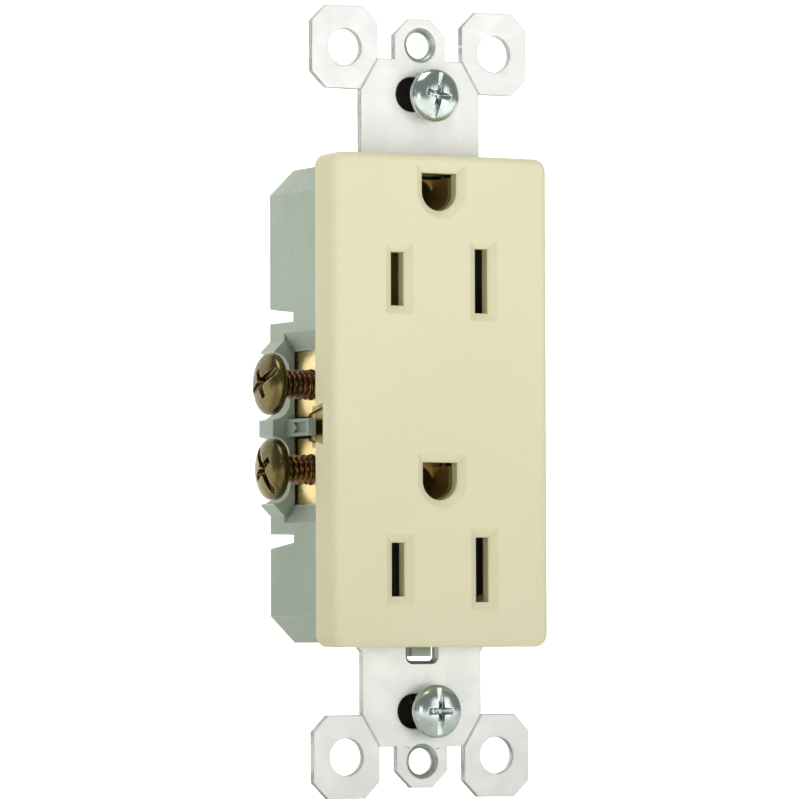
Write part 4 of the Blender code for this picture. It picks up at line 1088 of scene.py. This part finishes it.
# screws that hold the cover to the body, driven from behind
assembly = {
    "head": 2.1, "headTall": 1.3, "dome": 0.7, "shank": 1.1, "long": 18.4, "pitch": 0.8, "seat": 15.1,
    "drive": {"reach": 1.15, "wide": 0.3, "foot": 0.4, "thin": 0.16, "deep": 0.95, "centre": 0.5, "slot": 0},
    "turns": (37, 20),
}
for row, z in (("upper", 1), ("lower", -1)):
    for column, x in (("left", -1), ("right", 1)):
        place = (x * cover["bossX"], assembly["seat"], z * cover["bossZ"])
        turn = assembly["turns"][0] * x + assembly["turns"][1] * z
        name = row + column.capitalize() + "AssemblyScrew"
        makeScrew(name, assembly, ["brightZinc"], "device", f"{row}_{column}_assembly_screw",
                  "back", place, turn)
print("assembly screws made")


# hexagonal ground screw in the tab that is bent back from the strap
groundScrew = {
    "head": 4.0, "headTall": 2.0, "dome": 0.25, "shank": 2.05, "long": 7.3, "pitch": 0.794,
    "hex": 4.05, "flange": 0.7, "out": 15.7, "turn": 60,
    "drive": {"reach": 0, "slot": 1.0, "slotDeep": 1.05},
}
makeScrew("groundScrew", groundScrew, ["greenDye"], "ground_terminal", "ground_screw", "right",
          (groundScrew["out"], strap["groundHole"][0], strap["groundHole"][1]), groundScrew["turn"])
print("ground screw made")


makeStrap()
print("mounting strap made")


# stampings kept to the frame's own shapes, with their edges rolled over
stampings = [
    # piece, node, edge, metal, slot
    ("hotBus", "hot_bus", 0.09, "rolledBrass", "brass_strip"),
    ("neutralBus", "neutral_bus", 0.09, "nickelStrip", "nickel_strip"),
    ("groundStrip", "ground_contact_strip", 0.08, "groundBrass", "brass_strip"),
    ("upperRivet", "upper_ground_rivet", 0.08, "groundBrass", "brass_strip"),
    ("lowerRivet", "lower_ground_rivet", 0.08, "groundBrass", "brass_strip"),
]
for pole in ("hot", "neutral"):
    for row in ("upper", "lower"):
        piece = row + pole.capitalize() + "Clip"
        stampings.append((piece, f"{row}_{pole}_wire_clip", 0.05, "springSteel", "spring_steel"))
for piece, node, edge, finish, slot in stampings:
    shape = softenEdges(fromNode(node, piece), edge, 2)
    finishPiece(shape, metal[finish], "device", [node])
print("strips, rivets and clips made")


# stage: pale sweep, soft lamps and the camera
stage = {
    "floorGap": 0.004, "wide": 3.2, "near": 1.6, "bend": 0.5, "tall": 1.8, "far": 0.75,
    "paper": tint(252, 252, 251), "paperShade": tint(247, 247, 246),
    "camera": (-0.34737, -0.67321, -0.03263), "target": (-0.002606, 0.0, 0.000314),
    "roll": -0.186, "lens": 252.2, "sensor": 36.0, "clip": (0.05, 10.0),
    # the paper glows but for a band beside the part, so that it stays pale without lighting the sides
    "air": tint(236, 240, 236), "airStrength": 0.34, "paperGlow": 0.75, "glowFrom": 0.03, "glowBlur": 0.09,
    # name: place, width, height, watts, colour
    "lamps": {
        "key": ((-0.60, -0.92, -0.12), 0.35, 0.6, 1.35, (1.0, 0.995, 0.98)),
        "frontRight": ((0.42, -0.80, -0.12), 0.7, 1.0, 2.9, (1.0, 0.99, 0.97)),
        "leftStrip": ((-0.85, -0.44, 0.04), 0.08, 0.9, 0.2, (1.0, 1.0, 0.97)),
        "overhead": ((-0.30, -0.30, 1.25), 0.8, 0.8, 7.5, (1.0, 1.0, 1.0)),
    },
}


# one sheet: a floor that bends up into a backdrop
def makeSweep():
    floor = cadLow.z - stage["floorGap"]
    path = [(-stage["near"], floor), (stage["far"], floor)]
    path += arc(stage["far"], floor + stage["bend"], stage["bend"], -90, 0, 16)[1:]
    path.append((stage["far"] + stage["bend"], floor + stage["tall"]))
    shape = bmesh.new()
    rows = [[shape.verts.new((x, y, z)) for x in (-stage["wide"] / 2, stage["wide"] / 2)] for y, z in path]
    for near, far in zip(rows, rows[1:]):
        shape.faces.new((near[0], near[1], far[1], far[0]))
    sweep = objectFrom("studioSweep", shape)
    sweep.data.shade_smooth()
    look = Finish("sweepPaper", specular=0.2)
    tooth = look.use("grain", Scale=400.0)
    look.colour(look.blend(look.scaled(tooth, 0.3), stage["paper"], stage["paperShade"]))
    look.roughness(0.85, 0.95, tooth)
    near = look.use("covered", look.along((0.0, 1.0, 0.0)), Half=stage["glowFrom"], Blur=stage["glowBlur"])
    glow = look.blend(near, (1.0, 1.0, 1.0), (0.0, 0.0, 0.0))
    look.tree.links.new(glow, look.shader.inputs["Emission Color"])
    look.fixed("Emission Strength", stage["paperGlow"])
    sweep.data.materials.append(look.material)


def makeLamps():
    for name, (place, wide, tall, watts, colour) in stage["lamps"].items():
        data = bpy.data.lights.new(name, "AREA")
        data.shape = "RECTANGLE"
        data.size, data.size_y = wide, tall
        data.energy = watts
        data.color = colour
        lamp = bpy.data.objects.new(name, data)
        lamp.location = place
        lamp.rotation_euler = (-Vector(place)).to_track_quat("-Z", "Y").to_euler()
        scene.collection.objects.link(lamp)
    world = bpy.data.worlds.new("softAir")
    world.use_nodes = True
    air = world.node_tree.nodes["Background"]
    air.inputs["Color"].default_value = (*stage["air"], 1.0)
    air.inputs["Strength"].default_value = stage["airStrength"]
    scene.world = world


def makeCamera():
    data = bpy.data.cameras.new("camera")
    data.sensor_width = stage["sensor"]
    data.lens = stage["lens"]
    camera = bpy.data.objects.new("camera", data)
    place, target = Vector(stage["camera"]), Vector(stage["target"])
    aim = (target - place).to_track_quat("-Z", "Y").to_matrix().to_4x4()
    camera.matrix_world = Matrix.Translation(place) @ aim @ spin(stage["roll"])
    data.clip_start, data.clip_end = stage["clip"]
    scene.collection.objects.link(camera)
    scene.camera = camera


makeSweep()
makeLamps()
makeCamera()
scene.view_settings.view_transform = "Standard"
print("stage made")
